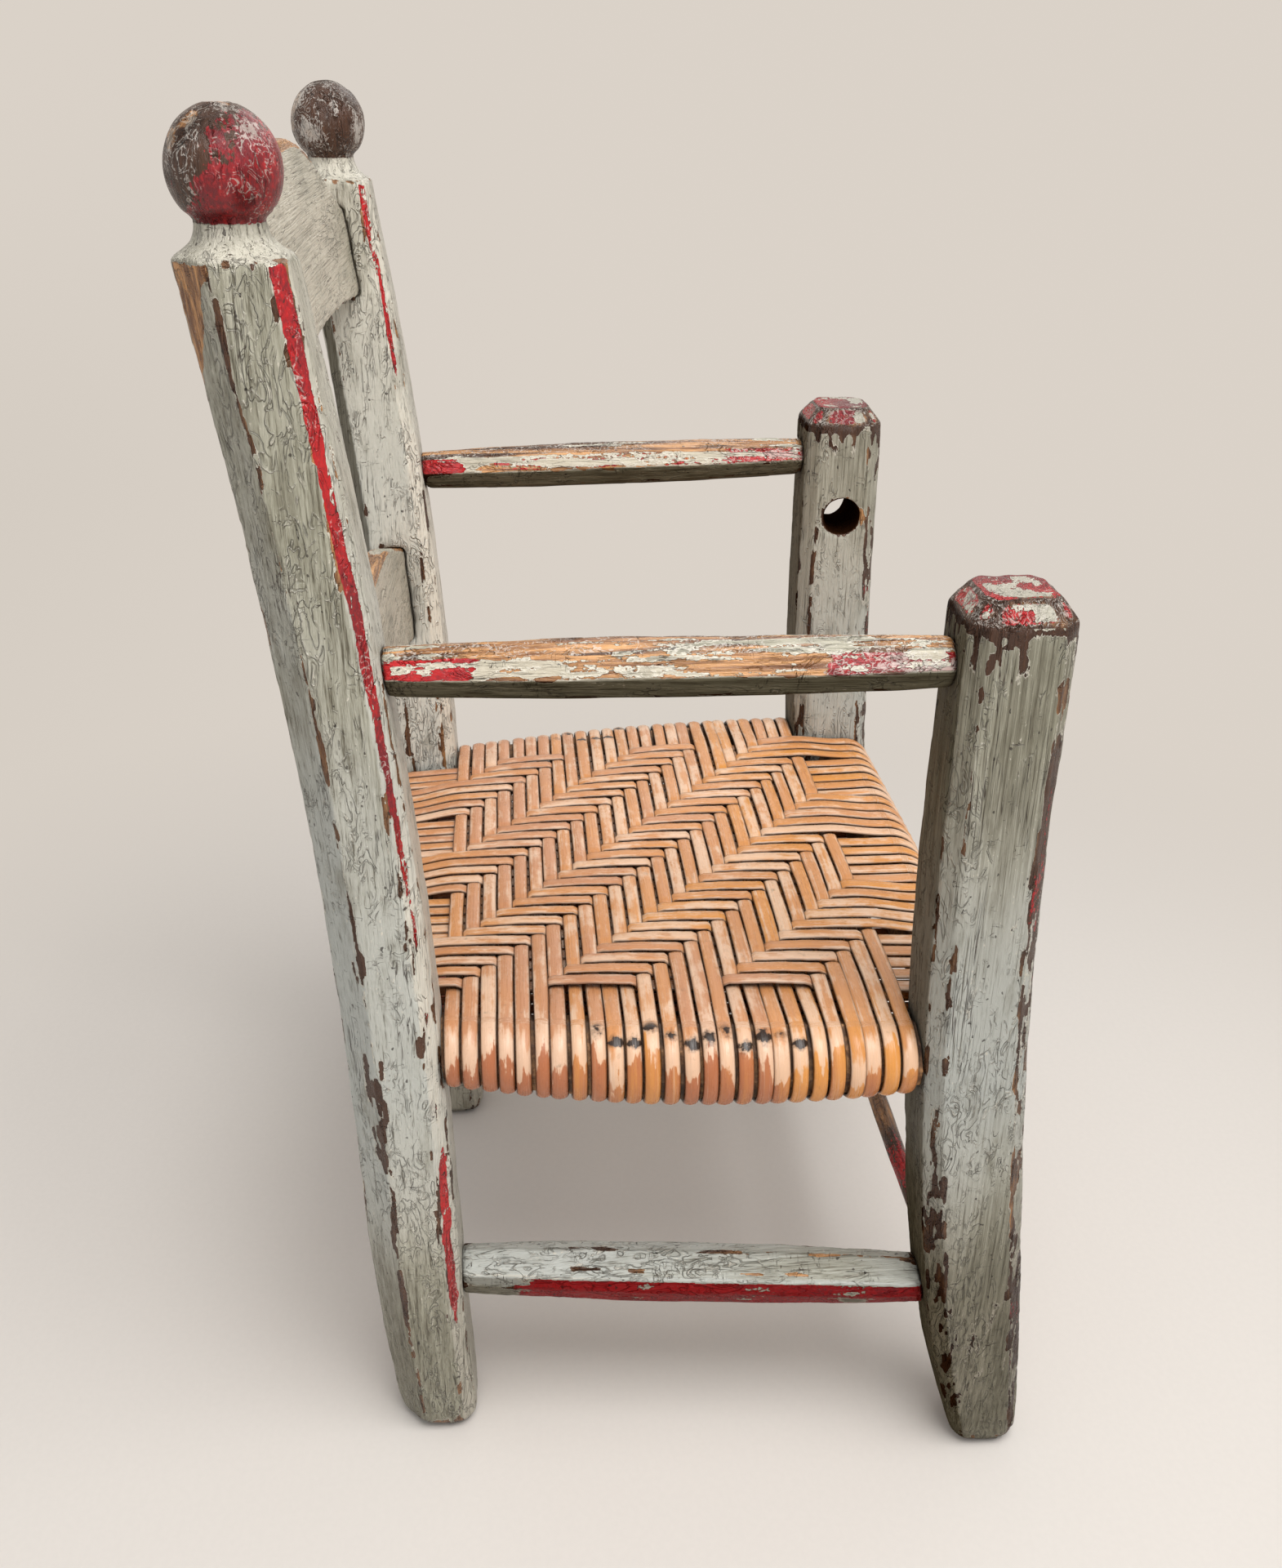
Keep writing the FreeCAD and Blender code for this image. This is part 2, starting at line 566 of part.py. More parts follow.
def build():
    os.makedirs("parts", exist_ok=True)
    back_posts = {}
    front_posts = {}
    for name, side in SIDES.items():
        post = faceted_solid(post_sections(back_axis, back_size, side, BACK_SHOULDER_HEIGHT, side))
        back_posts[name] = post.fuse(finial(back_axis(side, BACK_SHOULDER_HEIGHT), side))
        bevel_start = FRONT_POST_HEIGHT - FRONT_BEVEL_HEIGHT
        sections = post_sections(front_axis, front_size, side, bevel_start)
        top_size = front_size(bevel_start) - 2 * FRONT_BEVEL_INSET
        top = post_section(front_axis(side, FRONT_POST_HEIGHT), top_size)
        front_posts[name] = faceted_solid(sections + [top])

    rails = {name: side_rail(side) for name, side in SIDES.items()}
    front_rail = cross_rail(front_axis, SEAT_RAIL_TOP, -CROSS_RAIL_OUTSET)
    back_rail = cross_rail(back_axis, SEAT_RAIL_TOP - SEAT_BACK_DROP, CROSS_RAIL_OUTSET)
    sticks = []
    for name, side in SIDES.items():
        ends = (("back", name), ("front", name))
        sticks.append(("arm_" + name, arm(side), ends, ARM_TENON_LENGTH))
        sticks.append(("seat_rail_" + name, rails[name], ends, SIDE_RAIL_TENON_LENGTH))
        low = stretcher(back_axis(side, SIDE_STRETCHER_HEIGHT), front_axis(side, SIDE_STRETCHER_HEIGHT))
        sticks.append(("side_stretcher_" + name, low, ends, STRETCHER_TENON_LENGTH))
    back_stretcher = stretcher(back_axis(RIGHT, BACK_STRETCHER_HEIGHT),
                               back_axis(LEFT, BACK_STRETCHER_HEIGHT))
    for name, rail, low, low_tenon in (("front", front_rail, front_rung(), RUNG_TENON_LENGTH),
                                       ("back", back_rail, back_stretcher, STRETCHER_TENON_LENGTH)):
        ends = ((name, "right"), (name, "left"))
        sticks.append(("seat_rail_" + name, rail, ends, CROSS_RAIL_TENON_LENGTH))
        sticks.append((name + "_stretcher", low, ends, low_tenon))

    posts = {("back", name): back_posts[name] for name in SIDES}
    posts.update({("front", name): front_posts[name] for name in SIDES})
    whole = dict(posts)
    for name, stick, ends, length in sticks:
        depths = tenon_depths(stick, [whole[end] for end in ends], length)
        body = stick.body().cut(whole[ends[0]]).cut(whole[ends[1]])
        pins = stick.tenons(depths)
        export(name, body.fuse(pins[0]).fuse(pins[1]).removeSplitter())
        for end, socket in zip(ends, stick.tenons(depths, TENON_CLEARANCE, SOCKET_END_ROOM)):
            posts[end] = posts[end].cut(socket)

    upper = (upper_slat_bottom(), UPPER_SLAT_HEIGHT, UPPER_CREST_RISE, UPPER_BOTTOM_RISE)
    lower = (lower_slat_bottom(), LOWER_SLAT_HEIGHT, LOWER_CREST_RISE, LOWER_BOTTOM_RISE)
    upper_slat = slat(*upper)
    for name, side in SIDES.items():
        upper_slat = upper_slat.cut(peg(side, PEG_CLEARANCE))
        for sizes in (upper, lower):
            posts[("back", name)] = posts[("back", name)].cut(slat(*sizes, oversize=SLAT_CLEARANCE))
        posts[("back", name)] = posts[("back", name)].cut(peg(side, PEG_CLEARANCE))
    export("upper_slat", upper_slat)
    export("lower_slat", slat(*lower))
    export("slat_pegs", Part.makeCompound([peg(side) for side in SIDES.values()]))

    bar_height = FRONT_POST_HEIGHT - BAR_HOLE_DROP
    for name, side in SIDES.items():
        centre = front_axis(side, bar_height)
        inner_face = centre.x - side * front_size(bar_height) / 2
        depth = BAR_BLIND_DEPTH if side == RIGHT else 2 * FRONT_BODY_SIZE
        start = vector(inner_face - side * POST_ARRIS, centre.y, bar_height)
        hole = Part.makeCylinder(BAR_HOLE_DIAMETER / 2, depth + POST_ARRIS, start, vector(side, 0, 0))
        posts[("front", name)] = posts[("front", name)].cut(hole)
    for (place, name), post in posts.items():
        export("%s_post_%s" % (place, name), post)

    export("seat_cross_strips", Part.makeCompound(cross_strips(rails)))
    export("seat_long_strips", Part.makeCompound(long_strips(front_rail, back_rail, rails)))


build()
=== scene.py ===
import bmesh
import bpy
import math
import numpy as np
from mathutils import Matrix, Vector


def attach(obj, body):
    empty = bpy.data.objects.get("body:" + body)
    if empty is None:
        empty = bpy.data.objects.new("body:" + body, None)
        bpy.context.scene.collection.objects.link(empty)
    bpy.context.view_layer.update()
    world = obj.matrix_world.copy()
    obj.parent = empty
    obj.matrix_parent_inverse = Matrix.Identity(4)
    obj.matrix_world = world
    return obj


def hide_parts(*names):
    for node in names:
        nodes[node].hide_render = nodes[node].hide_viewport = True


# Child's armchair: worn layers of paint on the hewn frame, and a seat woven of flat splint.
# Metres, in the chair's own frame: it stands on z = 0 and faces -Y, with the sitter's left at +X.

# Skin of the hewn pieces
POST_GRID = 0.0012
STICK_GRID = 0.0010
SMOOTHING_ROUNDS = 3
FOOT_ROUNDS = 30
FOOT_ROUNDING = 0.008
EDGE_ROUNDS = 14
UNDULATION = 0.00040
TOOL_MARKS = 0.00022
PAINT_FILM = 0.00028
WELD_REACH = 1e-6
EDGE_RELIEF = (0.00006, 0.00030)
GRAIN_SHIFT = np.array((0.13, 0.29, 0.41))
SLICE_HEIGHT = 0.01
THINNEST_HALF = 1e-4

# Axes
ALONG_X = 0
ALONG_Y = 1
UPRIGHT = 2

# Noise on the skin, in waves per metre across the grain (twice) and along it
BROAD_WAVES = (35, 35, 14)
PATCH_WAVES = (110, 110, 40)
CHIP_WAVES = (300, 300, 80)
HEWN_WAVES = (55, 55, 16)
TOOL_WAVES = (230, 230, 70)
FLAKE_WAVES = (320, 320, 90)
BALL_WAVES = (150, 150, 150)
STREAK_WAVES = (420, 420, 14)

# Posts: heights of the shoulder, neck and top, the finial's ball, and the hole for a bar
SHOULDER_HEIGHT = 0.544
SHOULDER_SOFT = (SHOULDER_HEIGHT - 0.002, SHOULDER_HEIGHT + 0.001)
FLARE_START = (SHOULDER_HEIGHT - 0.001, SHOULDER_HEIGHT + 0.001)
NECK_HEIGHT = 0.5545
BALL_START = (NECK_HEIGHT + 0.001, NECK_HEIGHT + 0.004)
BALL_HALF_HEIGHT = 0.0190
BALL_RED_SIDE = np.array((-0.25, -0.75, -0.6))
FRONT_POST_TOP = 0.432
BAR_HOLE_PLACE = -0.1155
BAR_HOLE_HEIGHT = 0.374
BAR_HOLE_RADIUS = 0.0095
FACET_TURN = (17, 27)
WIDE_ARRIS_EDGE = 0.34

# Red line left on the front arris of the back posts, from the foot to the shoulder
STRIPE_HEIGHTS = (0.04, 0.06, 0.10, 0.17, 0.20, 0.24, 0.30, 0.36, 0.44, 0.54)
STRIPE_HALF_WIDTHS = (0.02, 0.10, 0.15, 0.17, 0.10, 0.06, 0.08, 0.14, 0.20, 0.22)
STRIPE_STRENGTHS = (0.0, 0.7, 0.9, 0.85, 0.3, 0.35, 0.6, 0.9, 1.0, 1.0)
STRIPE_PLACE = 0.07
STRIPE_FRAYED = (0.20, 0.30)
FAR_STRIPE_HEIGHTS = (0.10, 0.43, 0.46, 0.54)
FAR_STRIPE_STRENGTHS = (0.0, 0.0, 0.95, 0.8)
FAR_STRIPE_NARROWING = 0.65

# How far the posts' paint has bleached, from the foot up
BLEACH_HEIGHTS = (0.00, 0.10, 0.16, 0.22, 0.29, 0.38, 0.54)
BACK_BLEACH = (0.00, 0.10, 0.42, 0.66, 0.58, 0.42, 0.04)
FRONT_BLEACH = (0.00, 0.00, 0.45, 0.80, 0.62, 0.15, 0.00)

# Flakes lost beside the rear arris of the back posts (middle and reach), and the chip under the shoulder
FLAKED_HEIGHT = (0.215, 0.080)
CHIPPED_HEIGHT = (0.215, 0.085)
FLAKED_TURN = 25
FLAKED_TURN_REACH = 60
SEAM_TURN_REACH = 40
SEAM_HEIGHTS = (0.22, 0.30)
LOWER_EDGE_PLACE = (1.55, 0.12)
LOWER_EDGE_HEIGHT = (0.24, 0.10)
CHIP_DROP = 0.034
CHIP_SLANT = 0.028
CHIP_SLANT_PLACES = (0.35, 0.9)
CHIP_RAGGED = 0.006
CHIP_SOFT = 0.002
CHIP_TURN_START = (12, 24)
CHIP_TURN_END = (60, 80)
LIP_HEIGHT = (SHOULDER_HEIGHT, 0.0012)

# Feet of the posts: heights between which wear, darkening and dirt go out
BACK_FOOT_WORN = (0.003, 0.016)
BACK_FOOT_DARKER = (0.05, 0.15)
FRONT_FOOT_WORN = (0.003, 0.018)
FRONT_FOOT_DARKER = (0.09, 0.19)
FOOT_SOILED = (0.0, 0.008)

# Tops of the front posts: heights, and upward parts of the skin's direction
TOP_ZONE = (FRONT_POST_TOP - 0.014, FRONT_POST_TOP - 0.010)
FLAT_SLOPE = (0.86, 0.95)
BEVEL_SLOPE = (0.25, 0.45)
RIM_HEIGHT = (FRONT_POST_TOP - 0.0108, 0.0022)
DRIP_HEIGHTS = (FRONT_POST_TOP - 0.045, FRONT_POST_TOP - 0.012)

# Front posts further down: heights of the worn parts, and the bar hole: the edge of the painted shade inside
# it, its worn rim and its open side
UPPER_PART = (0.27, 0.36)
FRONT_FLAKED = (0.25, 0.33)
HOLE_EDGE = (BAR_HOLE_RADIUS - 0.0003, BAR_HOLE_RADIUS + 0.0009)
HOLE_RIM = (BAR_HOLE_RADIUS + 0.001, 0.0015)
HOLE_SIDE = (0.0, 0.2)

# Arms: slopes in degrees, and shares of the way from back to front
ARM_TOP_SLOPE = (40, 50)
ARM_FACE_SLOPE = (-4, 4)
ARM_RED_START = (0.02, 0.05)
ARM_RED_END = (0.185, 0.215)
ARM_WOOD_START = (0.19, 0.25)
ARM_PINK_START = (0.70, 0.76)

# Side stretchers and slats: places in the section from -1 to 1, shares from back to front, and slopes
RED_PART_OUTER = (-0.2, 0.1)
RED_PART_FOOT = (-0.85, -0.75)
RED_PART_TOP = (0.33, 0.40)
RED_PART_BACK = (0.12, 0.28)
RED_PART_FRONT = (0.96, 0.985)
RED_BORDER = (0.44, 0.05)
PALE_SLOPE = (-10, 30)
DARKER_TOP_SLOPE = (72, 85)
UNDERSIDE_SHADE_SLOPE = (50, 60)
CREST_SLOPE = (0.35, 0.8)
CREST_PLACE = (0.84, 0.90)

# Splint: sizes of the strips, how they bend over each other, and where the outermost ones lie
STRIP_THICKNESS = 0.0009
STRIP_CROWN = 0.00070
WRAP_PUFF = 1.3
STRIP_WIDTH = 0.0069
LONG_COVER = 0.85
WIDTH_SPREAD = 0.0004
STRIP_STEP = 0.0020
WRAP_STEPS = 16
WEAVE_HEIGHT = 0.00125
FLOAT_BULGE = 0.00055
TWILL_FLOAT = 5
CROSS_STRIPS = 26
LONG_STRIPS = 28
RAIL_SKIN = 0.0009
UNDERSIDE_LEVEL = 0.2105
SAG_REACH = 0.03
STRIP_RIM = STRIP_THICKNESS * 0.35
STRIP_UNDER = STRIP_THICKNESS * 0.5
SECTION_ACROSS = np.array((-1.0, -0.85, -0.5, 0.0, 0.5, 0.85, 1.0, 0.85, 0.0, -0.85))
SECTION_TOP = np.array((0, 1, 1, 1, 1, 1, 0, -1, -1, -1))
CROSSING_BEND = (0.28, 0.72)
LONG_WRAP = 0.6
CROSS_FRONT = -0.0922
CROSS_BACK = 0.0956
LONG_FRONT_REACH = 0.1261
LONG_BACK_REACH = 0.1050

# How far one strip differs from the next
CROSS_JITTER = 0.0003
FAN_JITTER = 0.002
STRIP_LEAN = 0.004
CROSS_WIDTH_JITTER = 0.0002
LONG_WIDTH_JITTER = (-0.0003, 0.0002)
WIDTH_WAVES = ((1, 0.4), (3, 0.4), (7, 0.3))
PHASE_SPREAD = 6.28
RUN_SPREAD = 50

# Burnt spots on the cross strips, by the tops of the side rails; strips are counted from the front
NEAR_BURNT_STRIPS = range(6, 18)
NEAR_BURN_STRENGTHS = (0.55, 1.0)
NEAR_BURN_PLACES = (0.003, 0.0115)
NEAR_BURN_REACHES = (0.0016, 0.0034)
FAR_BURNT_STRIPS = range(13, 19)
FAR_BURN_STRENGTHS = (0.2, 1.0)
FAR_BURN_PLACES = (-0.004, 0.010)
FAR_BURN_REACH = 0.0020

# Seat rails under the weave: ends at +X, bows in the middle, and half thicknesses
SIDE_RAIL_BACK = (0.1263, 0.1196, 0.2255)
SIDE_RAIL_FRONT = (0.1526, -0.1194, 0.2285)
SIDE_RAIL_BOW = (0.006, 0.0, -0.0025)
FRONT_RAIL_END = (0.1516, -0.1245, 0.2270)
BACK_RAIL_END = (0.1312, 0.1245, 0.2240)
CROSS_RAIL_BOW = (0.0, 0.0, -0.002)
RAIL_END_RADIUS = 0.013
SIDE_RAIL_RADIUS = 0.017
CROSS_RAIL_RADIUS = 0.015

# Lengths and spreads in the materials
PAINT_RELIEF = 0.0012
FIBRE_RELIEF = 0.0003
GRAIN_RELIEF = 0.0004
CREVICE_REACH = 0.012
WEAVE_CREVICE_REACH = 0.005
STRIP_HALF_WIDTH = 0.0033
SEAT_BACK = 0.08
SEAT_FRONT = -0.10
STRIP_APART = 9.0
OWN_START_TURNS = 7.31

# Camera, placed to see the chair as the photograph does
CAMERA_PLACE = Vector((-0.6418, 0.0612, 0.6030))
CAMERA_YAW = math.radians(4.99)
CAMERA_PITCH = math.radians(26.60)
CAMERA_ROLL = math.radians(0.42)
CAMERA_LENS = 33.75
SENSOR_HEIGHT = 36.0
CAMERA_CLIP = 0.01

# Colours, as linear light
SAGE = (0.450, 0.435, 0.335)
SAGE_DARK = (0.200, 0.185, 0.130)
SAGE_SHADE = (0.085, 0.070, 0.042)
PALE_BLUE = (0.560, 0.590, 0.560)
PALE_SAGE = (0.600, 0.540, 0.420)
CREAM = (0.780, 0.730, 0.620)
SCUFF_GREY = (0.700, 0.650, 0.590)
GRIME_AND_SHADE_TINT = (0.240, 0.210, 0.170)
RED = (0.540, 0.011, 0.014)
RED_DARK = (0.190, 0.012, 0.018)
WOOD_ORANGE = (0.720, 0.370, 0.150)
WOOD_BROWN = (0.195, 0.076, 0.028)
WOOD_STAINED = (0.120, 0.044, 0.017)
WOOD_DARK = (0.075, 0.029, 0.012)
WOOD_BLACK = (0.022, 0.012, 0.008)
SPLINT_TAN = (0.670, 0.296, 0.108)
SPLINT_ORANGE = (0.720, 0.300, 0.068)
SPLINT_PINK = (0.590, 0.275, 0.140)
SPLINT_WORN = (0.840, 0.600, 0.430)
SPLINT_VARNISH = (0.430, 0.160, 0.060)
SPLINT_RUST = (0.440, 0.140, 0.055)
SPLINT_SHADE = (0.070, 0.030, 0.014)
SPLINT_UNDERSIDE_SHADE = (0.300, 0.245, 0.185)
BACKDROP = (0.748, 0.702, 0.656)
BACKDROP_FAR = (0.705, 0.645, 0.580)
BACKDROP_NEAR_LIT = (0.830, 0.765, 0.700)
BACKDROP_LEFT_SHADED = (0.640, 0.586, 0.523)

# Studio: paper that keeps the shadow near the chair, and lamps with their power in watts
FLOOR_REACH = 4.0
SWEEP_START = 1.6
SWEEP_RADIUS = 1.4
SWEEP_HEIGHT = 3.0
SWEEP_STEPS = 24
SHADOW_REACH = 0.30
PAPER_EVEN_REACH = 0.85
TONE_FADE = (1.6, 3.2)
LEFT_TONE = (-0.2, 1.4)
NEAR_TONE = (0.0, -0.5)
FIBRE_TONE = 0.985
ROOM_LIGHT = 0.53
NEUTRAL = (1.0, 0.995, 0.985)
KEY_LAMP = {"place": (-0.66, -0.30, 1.62), "aim": (0.0, 0.0, 0.2), "size": 1.1, "power": 21.5}
FILL_LAMP = {"place": (-1.6, 0.2, 1.1), "aim": (0.0, 0.0, 0.2), "size": 1.2, "power": 2.5}
SHEEN_LAMP = {"place": (1.1, -0.25, 1.05), "aim": (0.0, 0.0, 0.25), "size": 0.7, "power": 2.0}
FLOOR_LAMP = {"place": (0.06, 0.0, 0.195), "aim": (0.06, 0.0, 0.0), "size": 0.20, "power": 0.065}

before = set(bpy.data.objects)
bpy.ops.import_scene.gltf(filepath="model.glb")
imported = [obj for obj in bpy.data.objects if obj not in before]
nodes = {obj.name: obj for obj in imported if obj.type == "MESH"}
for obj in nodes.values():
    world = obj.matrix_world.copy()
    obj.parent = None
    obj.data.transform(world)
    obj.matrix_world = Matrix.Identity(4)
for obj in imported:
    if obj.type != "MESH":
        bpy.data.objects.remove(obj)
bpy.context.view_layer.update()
random = np.random.default_rng(7)


# Repeatable noise on arrays of points

def corner_values(cells, seed):
    """A value from -1 to 1 for every whole-number corner."""
    mixed = cells[:, 0] * 374761393 + cells[:, 1] * 668265263 + cells[:, 2] * 1440670441 + seed * 982451653
    mixed = (mixed ^ (mixed >> 13)) * 1274126177
    mixed = (mixed ^ (mixed >> 16)) & 0xFFFF
    return mixed / 32767.5 - 1


def noise(points, seed):
    """Smooth noise from -1 to 1 with features about one unit across."""
    base = np.floor(points).astype(np.int64)
    part = points - base
    part = part * part * (3 - 2 * part)
    total = np.zeros(len(points))
    for corner in np.ndindex(2, 2, 2):
        weight = np.prod(np.where(corner, part, 1 - part), axis=1)
        total += weight * corner_values(base + np.array(corner), seed)
    return total


def rough_noise(points, seed, octaves=3):
    return sum(noise(points * 2 ** step, seed + step) / 2 ** step for step in range(octaves))


def ramp(values, low, high):
    """Smooth step from 0 at low to 1 at high."""
    share = np.clip((values - low) / (high - low), 0, 1)
    return share * share * (3 - 2 * share)


def fall(values, low, high):
    """Smooth step from 1 at low to 0 at high."""
    return ramp(-values, -high, -low)


def bump_at(values, centre, reach):
    """Soft hill of height 1 around a value."""
    return np.exp(-((values - centre) / reach) ** 2)


# Mesh helpers

def read_rows(items, field, columns, kind=float):
    """One field of a mesh's points or edges, a row for each."""
    values = np.empty(len(items) * columns, dtype=kind)
    items.foreach_get(field, values)
    return values.reshape(-1, columns)


def write_points(mesh, points):
    mesh.vertices.foreach_set("co", points.astype(np.float32).ravel())
    mesh.update()


def write_attribute(mesh, name, values):
    kind = "FLOAT_VECTOR" if values.ndim == 2 else "FLOAT"
    layer = mesh.attributes.new(name, kind, "POINT")
    layer.data.foreach_set("vector" if values.ndim == 2 else "value", values.astype(np.float32).ravel())


def neighbour_average(points, edges, rounds):
    count = np.bincount(edges.ravel(), minlength=len(points))[:, None].clip(1)
    ends = np.concatenate([edges, edges[:, ::-1]])
    for _ in range(rounds):
        sums = [np.bincount(ends[:, 0], weights=points[ends[:, 1], axis], minlength=len(points))
                for axis in range(points.shape[1])]
        points = 0.5 * points + 0.5 * np.stack(sums, axis=1) / count
    return points


def show(obj, node):
    """Put a finished piece in the place of its CAD node."""
    bpy.context.scene.collection.objects.link(obj)
    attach(obj, "root")
    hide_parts(node)


# Hewn frame

def fine_skin(node, grid):
    """Copy of a CAD node with an even, fine skin."""
    mesh = nodes[node].data.copy()
    mesh.materials.clear()
    welded = bmesh.new()
    welded.from_mesh(mesh)
    bmesh.ops.remove_doubles(welded, verts=welded.verts, dist=WELD_REACH)
    welded.to_mesh(mesh)
    welded.free()
    rough = bpy.data.objects.new("rough_" + node, mesh)
    bpy.context.scene.collection.objects.link(rough)
    skin = rough.modifiers.new("skin", "REMESH")
    skin.mode = "VOXEL"
    skin.voxel_size = grid
    skin.use_smooth_shade = True
    shaped = rough.evaluated_get(bpy.context.evaluated_depsgraph_get())
    fine = bpy.data.meshes.new_from_object(shaped)
    bpy.data.objects.remove(rough)
    bpy.data.meshes.remove(mesh)
    return fine


class Skin:
    """Arrays that describe a fine skin while its paint is worn."""

    def __init__(self, mesh, grain_axis, seed):
        self.seed = seed
        self.grain_axis = grain_axis
        self.edges = read_rows(mesh.edges, "vertices", 2, np.int64)
        rough = read_rows(mesh.vertices, "co", 3)
        self.points = neighbour_average(rough, self.edges, SMOOTHING_ROUNDS)
        self.round_feet()
        self.round_ball()
        write_points(mesh, self.points)
        self.normals = read_rows(mesh.vertex_normals, "vector", 3)
        inner = neighbour_average(self.points, self.edges, EDGE_ROUNDS)
        convex = np.sum((self.points - inner) * self.normals, axis=1)
        self.edge = ramp(convex, *EDGE_RELIEF)
        across = [axis for axis in range(3) if axis != grain_axis]
        self.grain = self.points[:, across + [grain_axis]] + GRAIN_SHIFT * seed
        self.broad = rough_noise(self.grain * BROAD_WAVES, seed)
        self.patchy = rough_noise(self.grain * PATCH_WAVES, seed + 20)
        self.chips = ramp(rough_noise(self.grain * CHIP_WAVES, seed + 30, 4), 0.05, 0.50)
        self.wear = 0.15 + 0.07 * self.broad + 0.05 * self.patchy + self.edge * (0.07 + 0.34 * self.chips)
        self.red = 0.12 + 0.10 * self.patchy
        self.dark = 0.78 + 0.25 * self.broad
        self.pale = 0.15 + 0.25 * self.broad
        self.blue = np.zeros(len(self.points))
        self.grime = self.blue.copy()
        self.scuff = self.blue.copy()

    def round_feet(self):
        """Wear the edges round where a post stands on the floor."""
        softer = neighbour_average(self.points, self.edges, FOOT_ROUNDS)
        share = fall(self.points[:, 2], FOOT_ROUNDING, 2 * FOOT_ROUNDING)[:, None]
        self.points = self.points + (softer - self.points) * share

    def round_ball(self):
        """Take the turned bands of a finial's ball out to its full, smooth round."""
        ball = self.points[:, 2] > NECK_HEIGHT
        if self.grain_axis != UPRIGHT or not ball.any():
            return
        low = self.points[ball].min(axis=0)
        high = self.points[ball].max(axis=0)
        centre = (low + high) / 2
        centre[2] = high[2] - BALL_HALF_HEIGHT
        radii = np.array((high[0] - low[0], high[1] - low[1], 2 * BALL_HALF_HEIGHT)) / 2
        away = self.points - centre
        stretch = 1 / np.linalg.norm(away / radii, axis=1)
        share = ramp(self.points[:, 2], *BALL_START)
        self.points = self.points + away * ((stretch - 1) * share)[:, None]

    def section(self):
        """Places across the grain along the two other axes, from -1 to 1 between the faces."""
        along = self.points[:, self.grain_axis]
        slices = np.round(along / SLICE_HEIGHT).astype(int)
        numbers = np.unique(slices)
        places = []
        for axis in range(3):
            if axis == self.grain_axis:
                continue
            values = self.points[:, axis]
            low = np.array([values[slices == number].min() for number in numbers])
            high = np.array([values[slices == number].max() for number in numbers])
            middle = np.interp(along, numbers * SLICE_HEIGHT, (low + high) / 2)
            half = np.interp(along, numbers * SLICE_HEIGHT, np.maximum((high - low) / 2, THINNEST_HALF))
            places.append((values - middle) / half)
        return places

    def mark(self, where, **amounts):
        """Add to the wear, the colours or the dirt and painted shade where a mark lies."""
        for name, amount in amounts.items():
            setattr(self, name, getattr(self, name) + where * amount)

    def cover(self, where, **values):
        """Set the wear, the colours or the dirt and painted shade of one part anew."""
        for name, value in values.items():
            setattr(self, name, np.where(where, value, getattr(self, name)))

    def shape(self):
        """Hewn waviness, tool marks and the step where paint has come off."""
        waves = noise(self.grain * HEWN_WAVES, self.seed + 40) * UNDULATION
        marks = noise(self.grain * TOOL_WAVES, self.seed + 50) * TOOL_MARKS
        flakes = noise(self.grain * FLAKE_WAVES, self.seed + 60)
        gone = ramp(self.wear + 0.12 * flakes, 0.46, 0.56)
        nicks = ramp(self.edge * (0.5 + self.patchy), 0.45, 0.9) * 2 * PAINT_FILM
        return self.points + self.normals * (waves + marks - gone * PAINT_FILM - nicks)[:, None]

    def finish(self, mesh):
        write_points(mesh, self.shape())
        write_attribute(mesh, "grain", self.grain)
        write_attribute(mesh, "pale", np.clip(self.pale, 0, 2))
        for name in ("wear", "red", "dark", "blue", "grime", "scuff"):
            write_attribute(mesh, name, np.clip(getattr(self, name), 0, 1))


def facet(turn, middle):
    """1 on the facet of a post that faces a given way, in degrees."""
    away = np.abs((turn - middle + 180) % 360 - 180)
    return fall(away, *FACET_TURN)


def post_places(skin):
    """Places across a post towards -X and +Y, height, and the skin's turn from -X round to +Y."""
    side_place, rear = skin.section()
    turn = np.degrees(np.arctan2(skin.normals[:, 1], -skin.normals[:, 0]))
    return -side_place, rear, skin.points[:, 2], turn


